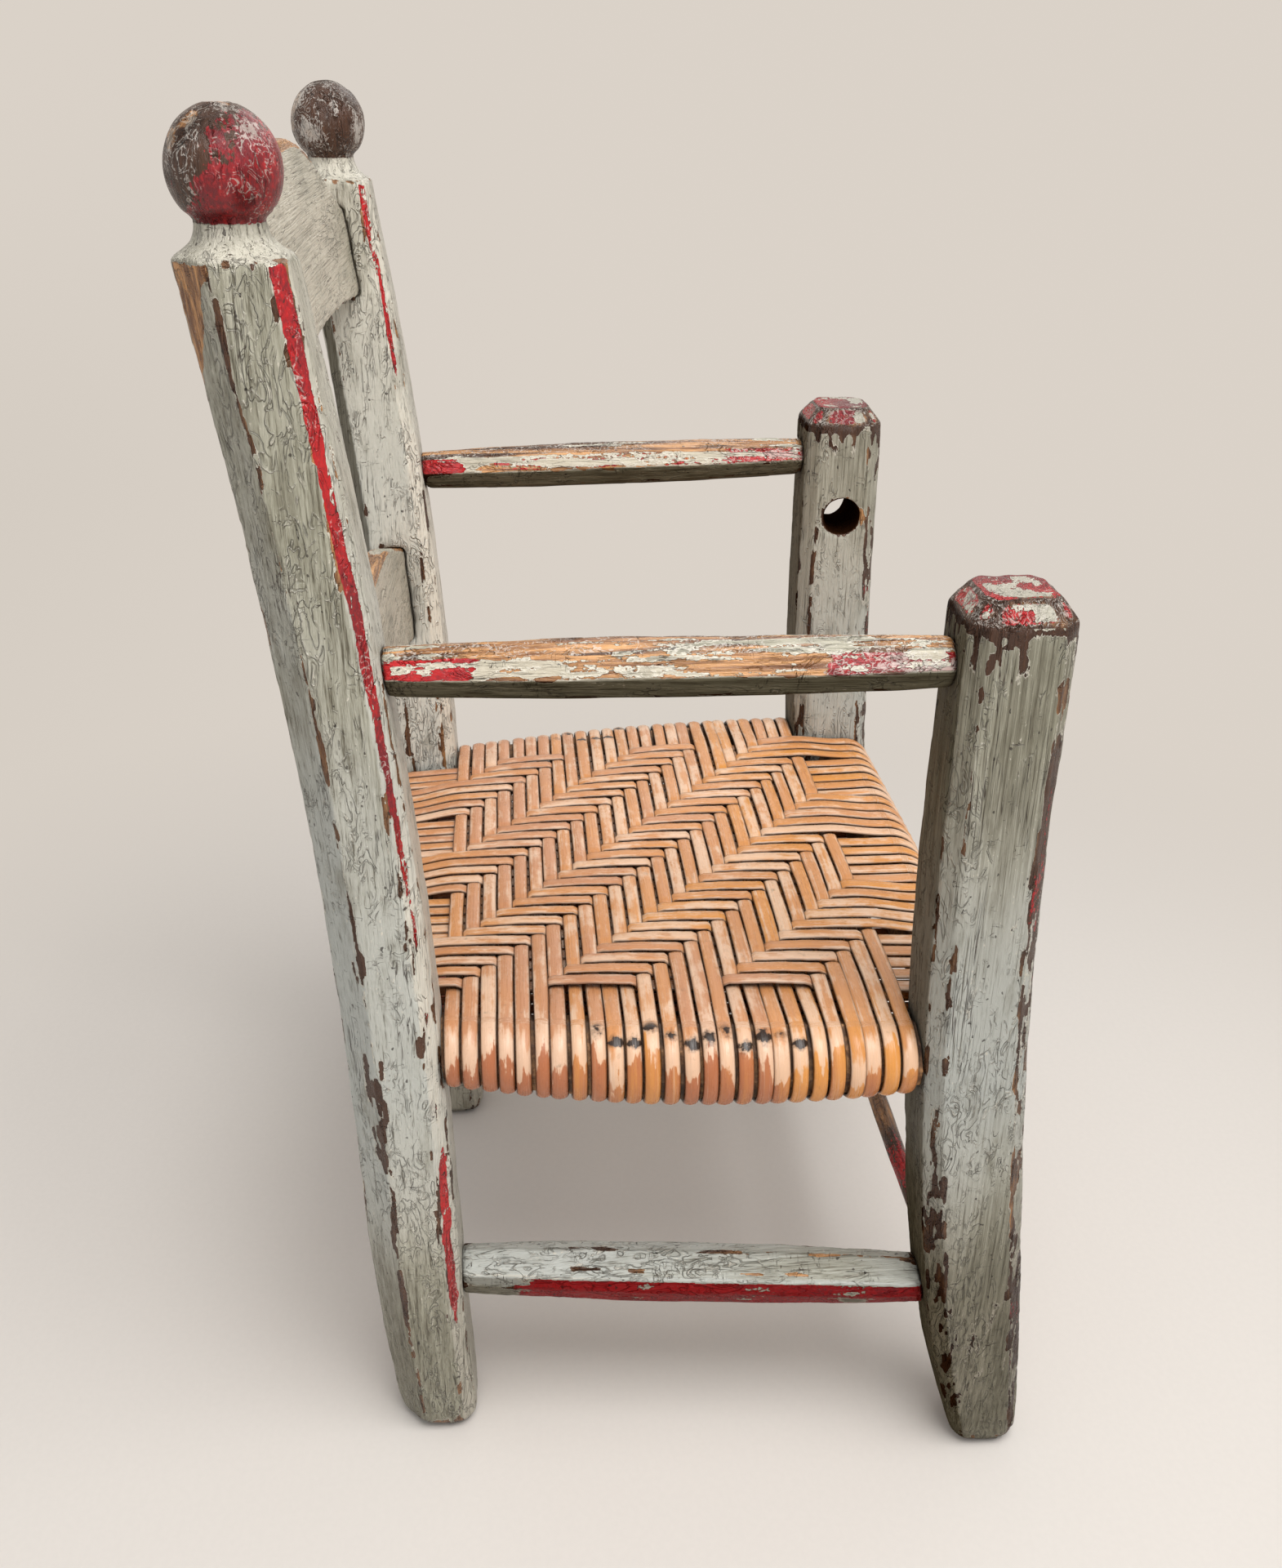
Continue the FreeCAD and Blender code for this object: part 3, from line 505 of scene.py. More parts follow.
def wear_back_post(skin, side):
    """Red line on the front arris, flakes lost by the rear one, bluish below, a worn ball on top."""
    seen, rear, height, turn = post_places(skin)
    near = side < 0
    below = fall(height, *SHOULDER_SOFT)
    front_arris = facet(turn, -45) * below
    front_face = facet(turn, -90) * below
    rear_arris = facet(turn, 45) * below
    other_arrises = np.maximum(facet(turn, 135), facet(turn, -135)) * below

    half_width = np.interp(height, STRIPE_HEIGHTS, STRIPE_HALF_WIDTHS)
    strength = np.interp(height, STRIPE_HEIGHTS, STRIPE_STRENGTHS)
    if not near:
        half_width *= FAR_STRIPE_NARROWING
        strength = np.interp(height, FAR_STRIPE_HEIGHTS, FAR_STRIPE_STRENGTHS)
    ragged = 0.05 + 0.16 * fall(height, *STRIPE_FRAYED)
    drift = np.abs(seen + rear - STRIPE_PLACE + 0.04 * skin.broad) + ragged * skin.patchy
    line = ramp(half_width - drift, -0.05, 0.04) * front_arris
    skin.mark(line, wear=0.46 * strength + 0.02, red=0.80 * strength)
    skin.mark(front_arris, pale=0.60, scuff=0.45)
    skin.mark(front_face, pale=0.50)

    flaked_width = 0.05 + 0.20 * bump_at(height, *FLAKED_HEIGHT)
    beside = bump_at(rear, WIDE_ARRIS_EDGE + 0.05 * skin.broad, flaked_width)
    flaking = beside * (np.abs(turn - FLAKED_TURN) < FLAKED_TURN_REACH) * below
    chipped = 0.16 + 0.40 * bump_at(height, *CHIPPED_HEIGHT)
    skin.mark(flaking, wear=0.12 + chipped * skin.chips, dark=0.12)
    seam = bump_at(rear, WIDE_ARRIS_EDGE + 0.02 * skin.broad, 0.025) * below * near
    seam = seam * (np.abs(turn - FLAKED_TURN) < SEAM_TURN_REACH) * ramp(height, *SEAM_HEIGHTS)
    skin.mark(seam, wear=0.24 + 0.20 * skin.patchy)
    lower_edge = bump_at(seen - rear, *LOWER_EDGE_PLACE) * bump_at(height, *LOWER_EDGE_HEIGHT) * below
    skin.mark(lower_edge, wear=0.36 * skin.chips)
    skin.mark(other_arrises, wear=0.25 * skin.chips)
    bleach = np.interp(height, BLEACH_HEIGHTS, BACK_BLEACH)
    skin.mark(bleach, pale=1.0, blue=0.8)
    # The far post is painted paler than the near one: painted light.
    skin.mark(1.0, pale=0.0 if near else 0.50, blue=0.25)
    # Painted shade on the rear arris, which turns away from the lamps; on the far post it is darker and less
    # pale.
    skin.mark(rear_arris, grime=0.30 if near else 0.80, pale=0.15 if near else -0.50, blue=0.3)

    slant = CHIP_SLANT * fall(rear, *CHIP_SLANT_PLACES)
    chip_edge = SHOULDER_HEIGHT - CHIP_DROP + slant + CHIP_RAGGED * skin.patchy
    corner = ramp(height, chip_edge - CHIP_SOFT, chip_edge + CHIP_SOFT) * below * near
    corner = corner * ramp(turn, *CHIP_TURN_START) * fall(turn, *CHIP_TURN_END)
    skin.mark(corner, wear=0.50, dark=-0.60, red=-0.5)
    skin.mark(fall(height, *BACK_FOOT_WORN), wear=0.16 + 0.30 * skin.chips)
    skin.mark(fall(height, *BACK_FOOT_DARKER), grime=0.25)
    skin.mark(fall(height, *FOOT_SOILED), grime=0.4)
    flare = ramp(height, *FLARE_START)
    skin.mark(flare, pale=0.55, scuff=0.4, wear=-0.06)
    skin.mark(bump_at(height, *LIP_HEIGHT), wear=0.32 * skin.chips)

    facing = skin.normals @ BALL_RED_SIDE
    scuffed = rough_noise(skin.grain * BALL_WAVES, skin.seed + 80)
    red_share = (0.42 + 0.55 * facing if near else -0.02) + 0.22 * skin.broad + 0.20 * scuffed
    skin.cover(height > NECK_HEIGHT, red=red_share, pale=1.0,
               wear=0.78 - 0.20 * ramp(scuffed, 0.2, 0.9),
               dark=1.45 - 1.3 * ramp(skin.patchy - 0.5 * facing, 0.75, 1.0),
               scuff=(0.52 if near else 0.66) + 0.45 * skin.patchy,
               grime=0.10 + 0.55 * ramp(skin.broad + 0.5 * scuffed, 0.0, 0.6))


def wear_front_post(skin, side):
    """Brown, cracked paint round the bevelled top, red and brown along the front arris, painted shade inside
    the bar hole.
    """
    seen, _, height, turn = post_places(skin)
    near = side < 0
    up = skin.normals[:, 2]
    high_up = ramp(height, *TOP_ZONE)
    top_face = ramp(up, *FLAT_SLOPE) * high_up
    bevel = ramp(up, *BEVEL_SLOPE) * high_up * (1 - top_face)
    around = 1 - top_face - bevel
    front_arris = np.maximum(facet(turn, -45), facet(turn, -135)) * around
    rear_arris = np.maximum(facet(turn, 45), facet(turn, 135)) * around
    rear_face = facet(turn, 90) * around

    upper = ramp(height, *UPPER_PART)
    band = (0.30 if near else 0.14) + 0.14 * upper * ramp(skin.broad, -0.8, 0.0)
    skin.mark(front_arris, wear=band + 0.26 * skin.chips, red=0.16 + 0.30 * skin.broad, dark=0.22)
    skin.mark(around, wear=0.24 * skin.chips * ramp(skin.broad, -0.1, 0.7))
    skin.mark(rear_arris, wear=0.34 * skin.chips * fall(height, *FRONT_FLAKED), grime=0.25)
    skin.mark(rear_face, grime=0.65)
    skin.mark(np.interp(height, BLEACH_HEIGHTS, FRONT_BLEACH), pale=1.0, blue=0.9)
    # The far post is painted paler than the near one, as painted light; both are darkened a little all over.
    skin.mark(1.0, pale=0.0 if near else 0.30, blue=0.20, grime=0.24 if near else 0.28)

    rim = bump_at(height, *RIM_HEIGHT) * around
    skin.mark(rim, wear=0.44 + 0.12 * skin.patchy, dark=0.2, red=-0.15)
    skin.mark(skin.edge * (top_face + bevel), wear=0.50, dark=0.2)
    skin.mark(bevel, wear=0.36 + 0.16 * skin.patchy, pale=0.6, red=0.42 - 0.35 * skin.edge, scuff=0.72)
    skin.mark(top_face, wear=0.34 + 0.18 * skin.patchy + 0.12 * skin.broad, pale=0.5,
              red=0.45 + 0.3 * skin.broad, scuff=0.40)
    drips = ramp(height, *DRIP_HEIGHTS) * around
    skin.mark(drips, wear=0.44 * skin.chips, dark=0.15)
    skin.mark(fall(height, *FRONT_FOOT_WORN), wear=0.12 + 0.30 * skin.chips)
    skin.mark(fall(height, *FRONT_FOOT_DARKER), grime=0.45)
    skin.mark(fall(height, *FOOT_SOILED), grime=0.4)

    away = np.hypot(skin.points[:, 1] - BAR_HOLE_PLACE, height - BAR_HOLE_HEIGHT)
    open_side = 1.0 if side > 0 else ramp(-seen, *HOLE_SIDE)
    inside = fall(away, *HOLE_EDGE) * open_side
    # Painted shade inside the bar hole, dark all through.
    skin.mark(inside, wear=1.0, red=-1.0, dark=0.8, grime=0.9)
    skin.mark(bump_at(away, *HOLE_RIM) * open_side, wear=0.25)


def stick_places(skin):
    """Share of the way from back to front, and the slope of the skin in degrees above straight out."""
    place = skin.points[:, 1]
    from_back = (place.max() - place) / (place.max() - place.min())
    slope = np.degrees(np.arctan2(skin.normals[:, 2], np.abs(skin.normals[:, 0])))
    return from_back, slope


def wear_arm(skin, side):
    """Worn to pale wood on the upper facets, red left at the back end and pink at the front, in painted shade
    below.
    """
    from_back, slope = stick_places(skin)
    near = side < 0
    top = ramp(slope, *ARM_TOP_SLOPE)
    facing = ramp(slope, *ARM_FACE_SLOPE) * (1 - top)
    lower = 1 - top - facing
    ragged = from_back + 0.03 * skin.broad + 0.03 * skin.patchy
    red_end = fall(ragged, *ARM_RED_END) * ramp(from_back, *ARM_RED_START)
    pink_end = ramp(ragged, *ARM_PINK_START)
    middle = ramp(ragged, *ARM_WOOD_START) * (1 - pink_end)
    streaks = rough_noise(skin.grain * STREAK_WAVES, skin.seed + 90)
    skin.mark(facing, wear=0.40 * red_end + 0.32 * pink_end + 0.14 * streaks,
              red=0.85 * red_end + 0.42 * pink_end, pale=0.75, scuff=0.35 * red_end + 0.80 * pink_end)
    skin.mark(facing * middle, wear=0.36 if near else 0.24, red=-0.1 if near else 0.25,
              dark=-0.90 - 0.2 * streaks)
    skin.mark(top, wear=0.32 + 0.12 * skin.broad + 0.26 * streaks, dark=-0.24 - 0.4 * streaks,
              pale=0.22, scuff=0.55)
    # Painted shade on the lower facets, which face down away from the lamps.
    skin.mark(lower, wear=0.10 * skin.chips - 0.08 + 0.14 * skin.edge * skin.chips, grime=0.94)


def wear_stretcher(skin, side):
    """Bluish above; the lower part has lost its grey paint and shows red."""
    from_back, slope = stick_places(skin)
    out_place, height_place = skin.section()
    low = height_place + 0.03 * skin.broad + 0.03 * skin.patchy
    outer = ramp(side * out_place, *RED_PART_OUTER)
    red_part = fall(low, *RED_PART_TOP) * ramp(height_place, *RED_PART_FOOT) * outer
    reach = ramp(from_back + 0.06 * skin.broad, *RED_PART_BACK) * fall(from_back, *RED_PART_FRONT)
    skin.mark(red_part * reach, wear=0.46 + 0.08 * skin.patchy, red=0.75)
    skin.mark(red_part, scuff=0.10, grime=0.75)
    skin.mark(1 - red_part, wear=0.20 * skin.chips)
    skin.mark(bump_at(low, *RED_BORDER) * outer, pale=0.5)
    skin.mark(ramp(slope, *PALE_SLOPE), pale=0.55)
    # Darker on the top facets.
    skin.mark(ramp(slope, *DARKER_TOP_SLOPE), grime=0.45)
    # Painted shade on the underside.
    skin.mark(ramp(-slope, *UNDERSIDE_SHADE_SLOPE), grime=0.5)
    skin.mark(1.0, blue=0.85)


def wear_dark_stretcher(skin, side):
    """Bare, dark red-brown wood with little paint left."""
    skin.mark(1.0, wear=0.60 + 0.12 * skin.patchy, red=0.26 + 0.25 * skin.broad, dark=0.10, grime=0.25)


def wear_slat(skin, side):
    """Smooth sage faces, the crest rubbed down to the wood."""
    up = skin.normals[:, 2]
    height_place = skin.section()[1]
    crest = np.maximum(ramp(up, *CREST_SLOPE), ramp(height_place + 0.02 * skin.broad, *CREST_PLACE))
    skin.mark(crest, wear=0.52 + 0.15 * skin.broad, dark=-0.75, red=0.15 * skin.broad)
    skin.mark(ramp(-up, *CREST_SLOPE), wear=0.16, red=0.35)
    skin.mark(1.0, wear=-0.10, pale=0.65, blue=0.1)


HEWN_PIECES = (
    ("back_post_left", UPRIGHT, POST_GRID, wear_back_post, 1),
    ("back_post_right", UPRIGHT, POST_GRID, wear_back_post, -1),
    ("front_post_left", UPRIGHT, POST_GRID, wear_front_post, 1),
    ("front_post_right", UPRIGHT, POST_GRID, wear_front_post, -1),
    ("arm_left", ALONG_Y, STICK_GRID, wear_arm, 1),
    ("arm_right", ALONG_Y, STICK_GRID, wear_arm, -1),
    ("side_stretcher_left", ALONG_Y, STICK_GRID, wear_stretcher, 1),
    ("side_stretcher_right", ALONG_Y, STICK_GRID, wear_stretcher, -1),
    ("front_stretcher", ALONG_X, STICK_GRID, wear_dark_stretcher, 1),
    ("back_stretcher", ALONG_X, STICK_GRID, wear_dark_stretcher, 1),
    ("upper_slat", ALONG_X, STICK_GRID, wear_slat, 1),
    ("lower_slat", ALONG_X, STICK_GRID, wear_slat, 1),
)


def build_hewn_pieces(material):
    for seed, (node, grain_axis, grid, wear, side) in enumerate(HEWN_PIECES, start=1):
        mesh = fine_skin(node, grid)
        skin = Skin(mesh, grain_axis, seed)
        wear(skin, side)
        skin.finish(mesh)
        mesh.name = "worn_" + node
        mesh.materials.append(material)
        show(bpy.data.objects.new("worn_" + node, mesh), node)


# Woven seat

class Rail:
    """Centre line and thickness of a seat rail, which swells in the middle."""

    def __init__(self, start, end, middle_radius, bow):
        self.start = np.array(start)
        self.end = np.array(end)
        self.middle_radius = middle_radius
        self.bow = np.array(bow)

    def at(self, place, axis):
        """Centre, in the plane of a strip that crosses the rail, and radius at a place along it."""
        share = (place - self.start[axis]) / (self.end[axis] - self.start[axis])
        swell = 1 - (2 * share - 1) ** 2
        centre = self.start + (self.end - self.start) * share + self.bow * swell
        radius = RAIL_END_RADIUS + (self.middle_radius - RAIL_END_RADIUS) * swell
        return (centre[1 - axis], centre[2]), radius


def mirrored(place, side):
    """The same place on the left (side 1) or the right (side -1) of the chair."""
    return np.array(place) * (side, 1, 1)


SIDE_RAILS = {side: Rail(mirrored(SIDE_RAIL_BACK, side), mirrored(SIDE_RAIL_FRONT, side), SIDE_RAIL_RADIUS,
                         mirrored(SIDE_RAIL_BOW, side)) for side in (-1, 1)}
FRONT_RAIL = Rail(mirrored(FRONT_RAIL_END, -1), FRONT_RAIL_END, CROSS_RAIL_RADIUS, CROSS_RAIL_BOW)
BACK_RAIL = Rail(mirrored(BACK_RAIL_END, -1), BACK_RAIL_END, CROSS_RAIL_RADIUS, CROSS_RAIL_BOW)


def cross_is_over(cross, long):
    """The twill: the floats step one strip sideways with each strip nearer the front."""
    return (long + cross) % (2 * TWILL_FLOAT) < TWILL_FLOAT


def weave_heights(places, crossings, over):
    """Height of a strip at places along it, above where it passes over and below where it passes under."""
    signs = np.where(over, 1.0, -1.0)
    padded = np.pad(signs, TWILL_FLOAT // 2, mode="edge")
    wide = np.convolve(padded, np.ones(TWILL_FLOAT) / TWILL_FLOAT, mode="valid")
    number = np.clip(np.searchsorted(crossings, places) - 1, 0, len(crossings) - 2)
    share = (places - crossings[number]) / (crossings[number + 1] - crossings[number])
    share = ramp(share, *CROSSING_BEND)
    sharp = signs[number] * (1 - share) + signs[number + 1] * share
    broad = wide[number] * (1 - share) + wide[number + 1] * share
    return WEAVE_HEIGHT * sharp + FLOAT_BULGE * broad


def wrap_rows(place, height, radius, turn, way):
    """Rows of a strip's line round a rail, on the side that way gives as -1 or 1."""
    places = place + way * radius * np.sin(turn)
    return np.stack([places, height + radius * np.cos(turn), turn / math.pi], axis=1)


def strip_route(low, high, levels, crossings, over, underside):
    """Closed line of a strip over the seat and back below: place, height and share of a rail passed."""
    (low_place, low_height), low_radius = low
    (high_place, high_height), high_radius = high
    low_radius += RAIL_SKIN
    high_radius += RAIL_SKIN
    rails = (low_place, high_place)
    steps = int((high_place - low_place) / STRIP_STEP)
    top = np.linspace(low_place, high_place, steps)
    inside = ramp(top, low_place, crossings[0]) * fall(top, crossings[-1], high_place)
    edge_height = np.interp(top, rails, (low_height + low_radius, high_height + high_radius))
    woven = np.interp(top, crossings, levels) + weave_heights(top, crossings, over)
    top_rows = np.stack([top, edge_height + (woven - edge_height) * inside, np.zeros(steps)], axis=1)
    turn = np.linspace(0, math.pi, WRAP_STEPS)[1:]
    high_rows = wrap_rows(high_place, high_height, high_radius, turn, 1)
    low_rows = wrap_rows(low_place, low_height, low_radius, turn[::-1], -1)
    below = np.linspace(high_place, low_place, WRAP_STEPS)[1:-1]
    sag = ramp(below, low_place, low_place + SAG_REACH) * fall(below, high_place - SAG_REACH, high_place)
    ends = np.interp(below, rails, (low_height - low_radius, high_height - high_radius))
    below_rows = np.stack([below, ends + (underside - ends) * sag, np.ones(len(below))], axis=1)
    return np.concatenate([top_rows, high_rows, below_rows, low_rows])


class StripMesh:
    """Collects crowned strips into one mesh."""

    def __init__(self):
        self.points = []
        self.faces = []
        self.attributes = {"tone": [], "across": [], "run": [], "wrap": [], "burn": []}
        self.count = 0

    def add(self, line, sideways, width, wrapped, burn):
        """Sweep the crowned section along a closed line of points."""
        rows = len(line)
        columns = len(SECTION_ACROSS)
        along = np.roll(line, -1, axis=0) - np.roll(line, 1, axis=0)
        along /= np.linalg.norm(along, axis=1)[:, None]
        outward = np.cross(along, sideways)
        outward /= np.linalg.norm(outward, axis=1)[:, None]
        crown = STRIP_CROWN * (1 + WRAP_PUFF * np.sin(math.pi * wrapped))
        rise = crown[:, None] * (1 - SECTION_ACROSS ** 2)[None, :] + STRIP_RIM
        lift = np.where(SECTION_TOP > 0, rise, np.where(SECTION_TOP < 0, -STRIP_UNDER, 0.0))
        half = width[:, None] / 2 * SECTION_ACROSS[None, :]
        points = (line[:, None, :] + half[:, :, None] * sideways[None, None, :]
                  + lift[:, :, None] * outward[:, None, :])
        self.points.append(points.reshape(-1, 3))
        for row in range(rows):
            after = (row + 1) % rows
            for column in range(columns):
                beside = (column + 1) % columns
                corners = ((row, column), (after, column), (after, beside), (row, beside))
                self.faces.append([self.count + r * columns + c for r, c in corners])
        self.count += rows * columns
        lengths = np.linalg.norm(np.roll(line, -1, axis=0) - line, axis=1)
        run = np.concatenate([[0.0], np.cumsum(lengths)[:-1]]) + random.uniform(0, RUN_SPREAD)
        tone = random.uniform()
        self.attributes["tone"].append(np.full(rows * columns, tone))
        self.attributes["across"].append(np.tile(SECTION_ACROSS, rows))
        for key, values in (("run", run), ("wrap", wrapped), ("burn", burn)):
            self.attributes[key].append(np.repeat(values, columns))

    def build(self, name, material):
        mesh = bpy.data.meshes.new(name)
        mesh.from_pydata(np.concatenate(self.points).tolist(), [], self.faces)
        mesh.shade_smooth()
        for key, parts in self.attributes.items():
            write_attribute(mesh, key, np.concatenate(parts))
        mesh.materials.append(material)
        return bpy.data.objects.new(name, mesh)


def strip_widths(count, base):
    """Width along one strip, with the slow swelling of a hand-split splint."""
    phases = random.uniform(0, PHASE_SPREAD, len(WIDTH_WAVES))
    turn = np.linspace(0, 2 * math.pi, count)
    swelling = sum(share * np.sin(waves * turn + phase) for (waves, share), phase in zip(WIDTH_WAVES, phases))
    return base + WIDTH_SPREAD * swelling


def edge_burns(number, route, near_rail, far_rail):
    """Burnt spots where a cross strip turns down round the near rail and, on a few strips, the far one."""
    along = route[:, 0]
    height = route[:, 1]
    strength = random.uniform(*NEAR_BURN_STRENGTHS) if number in NEAR_BURNT_STRIPS else 0.0
    place = near_rail[0] - random.uniform(*NEAR_BURN_PLACES)
    reach = random.uniform(*NEAR_BURN_REACHES)
    burn = strength * bump_at(along, place, reach) * (height > near_rail[1])
    strength = random.uniform(*FAR_BURN_STRENGTHS) if number in FAR_BURNT_STRIPS else 0.0
    place = far_rail[0] - random.uniform(*FAR_BURN_PLACES)
    return burn + strength * bump_at(along, place, FAR_BURN_REACH) * (height > far_rail[1])


def cross_strips(cross_places, shares, levels):
    """Strips from side to side."""
    strips = StripMesh()
    back_y = BACK_RAIL.start[1]
    depth = back_y - FRONT_RAIL.start[1]
    for i, y in enumerate(cross_places):
        spread = LONG_BACK_REACH + (LONG_FRONT_REACH - LONG_BACK_REACH) * (back_y - y) / depth
        over = np.array([cross_is_over(i, j) for j in range(LONG_STRIPS)])
        near_end = SIDE_RAILS[-1].at(y, ALONG_Y)
        far_end = SIDE_RAILS[1].at(y, ALONG_Y)
        route = strip_route(near_end, far_end, np.full(LONG_STRIPS, levels[i]), shares * spread, over,
                            UNDERSIDE_LEVEL - 2 * STRIP_THICKNESS)
        lean = random.uniform(-STRIP_LEAN, STRIP_LEAN)
        line = np.stack([route[:, 0], y + lean * route[:, 0], route[:, 1]], axis=1)
        burn = edge_burns(i, route, near_end[0], far_end[0])
        base = STRIP_WIDTH + random.uniform(-CROSS_WIDTH_JITTER, CROSS_WIDTH_JITTER)
        strips.add(line, np.array((0.0, 1.0, 0.0)), strip_widths(len(route), base), route[:, 2], burn)
    return strips


def long_strips(cross_places, shares, levels):
    """Strips from front to back, which fan out towards the wider front."""
    strips = StripMesh()
    for j, share in enumerate(shares):
        front_x = share * LONG_FRONT_REACH
        back_x = share * LONG_BACK_REACH
        front_end = FRONT_RAIL.at(front_x, ALONG_X)
        back_end = BACK_RAIL.at(back_x, ALONG_X)
        front_y = front_end[0][0]
        back_y = back_end[0][0]
        over = np.array([not cross_is_over(i, j) for i in range(CROSS_STRIPS)])
        route = strip_route(front_end, back_end, levels, cross_places, over, UNDERSIDE_LEVEL)
        along = route[:, 0]
        slope = (back_x - front_x) / (back_y - front_y)
        line = np.stack([front_x + slope * (along - front_y), along, route[:, 1]], axis=1)
        sideways = np.array((-1.0, slope, 0.0)) / math.hypot(1.0, slope)
        fan = np.interp(along, (front_y, back_y), (LONG_FRONT_REACH, LONG_BACK_REACH))
        width = strip_widths(len(route), random.uniform(*LONG_WIDTH_JITTER))
        width += LONG_COVER * 2 * fan / (LONG_STRIPS - 1)
        strips.add(line, sideways, width, route[:, 2] * LONG_WRAP, np.zeros(len(route)))
    return strips


def build_seat(material):
    jitter = random.uniform(-CROSS_JITTER, CROSS_JITTER, CROSS_STRIPS)
    cross_places = np.linspace(CROSS_FRONT, CROSS_BACK, CROSS_STRIPS) + jitter
    shares = np.linspace(-1, 1, LONG_STRIPS) + random.uniform(-FAN_JITTER, FAN_JITTER, LONG_STRIPS)
    levels = []
    for y in cross_places:
        (_, height), radius = SIDE_RAILS[1].at(y, ALONG_Y)
        levels.append(height + radius + RAIL_SKIN)
    cross = cross_strips(cross_places, shares, levels)
    show(cross.build("woven_cross_strips", material), "seat_cross_strips")
    long = long_strips(cross_places, shares, levels)
    show(long.build("woven_long_strips", material), "seat_long_strips")


# Materials

class Shader:
    """Short names for the nodes of one material."""

    def __init__(self, name):
        self.material = bpy.data.materials.new(name)
        self.material.use_nodes = True
        self.tree = self.material.node_tree
        self.surface = self.tree.nodes["Principled BSDF"]

    def node(self, kind, inputs=(), **settings):
        made = self.tree.nodes.new(kind)
        for key, value in settings.items():
            setattr(made, key, value)
        for key, value in dict(inputs).items():
            self.feed(made.inputs[key], value)
        return made

    def feed(self, socket, value):
        if isinstance(value, bpy.types.NodeSocket):
            self.tree.links.new(value, socket)
        elif hasattr(socket.default_value, "__len__") and len(socket.default_value) == 4:
            socket.default_value = (*value, 1.0)
        else:
            socket.default_value = value

    def attribute(self, name, output="Fac"):
        return self.node("ShaderNodeAttribute", attribute_name=name).outputs[output]

    def math(self, operation, first, second=0.0):
        return self.node("ShaderNodeMath", {0: first, 1: second}, operation=operation).outputs[0]

    def add(self, *values):
        total = values[0]
        for value in values[1:]:
            total = self.math("ADD", total, value)
        return total

    def times(self, first, second):
        return self.math("MULTIPLY", first, second)

    def step(self, value, low, high, start=0.0, end=1.0):
        limits = {"From Min": low, "From Max": high, "To Min": start, "To Max": end}
        made = self.node("ShaderNodeMapRange", {"Value": value, **limits}, interpolation_type="SMOOTHSTEP")
        return made.outputs["Result"]

    def noise(self, vector, scale, detail=3.0, roughness=0.55, distortion=0.0):
        """Noise with a number of waves per metre along each axis."""
        stretched = self.node("ShaderNodeVectorMath", {0: vector, 1: scale}, operation="MULTIPLY").outputs[0]
        made = self.node("ShaderNodeTexNoise", {"Vector": stretched, "Scale": 1.0, "Detail": detail,
                                                "Roughness": roughness, "Distortion": distortion})
        return made.outputs["Fac"]

    def centred(self, value, strength):
        """Noise moved from around a half to around nought."""
        return self.times(self.math("SUBTRACT", value, 0.5), strength)

    def varied(self, value, *noises):
        """A value plus centred noises, each given with its strength."""
        return self.add(value, *(self.centred(noise, strength) for noise, strength in noises))

    def mix(self, share, first, second, blend="MIX"):
        made = self.node("ShaderNodeMix", data_type="RGBA", blend_type=blend)
        self.feed(made.inputs["Factor"], share)
        self.feed(made.inputs[6], first)
        self.feed(made.inputs[7], second)
        return made.outputs[2]

    def tinted(self, base, colour, value, low, high, most=1.0):
        """A colour laid over another, from nothing at the low value to the most at the high one."""
        return self.mix(self.step(value, low, high, 0.0, most), base, colour)

    def thin_line(self, value, width):
        """1 along the line where noise passes its middle value."""
        away = self.math("ABSOLUTE", self.math("SUBTRACT", value, 0.5))
        return self.step(away, 0.0, width, 1.0, 0.0)

    def crevices(self, reach):
        """1 in the open, down to 0 deep between close surfaces."""
        return self.node("ShaderNodeAmbientOcclusion", {"Distance": reach}, samples=4).outputs["AO"]

    def finish(self, colour, roughness, height, relief):
        self.feed(self.surface.inputs["Base Color"], colour)
        self.feed(self.surface.inputs["Roughness"], roughness)
        bump = self.node("ShaderNodeBump", {"Height": height, "Distance": relief, "Strength": 1.0})
        self.feed(self.surface.inputs["Normal"], bump.outputs[0])
        return self.material


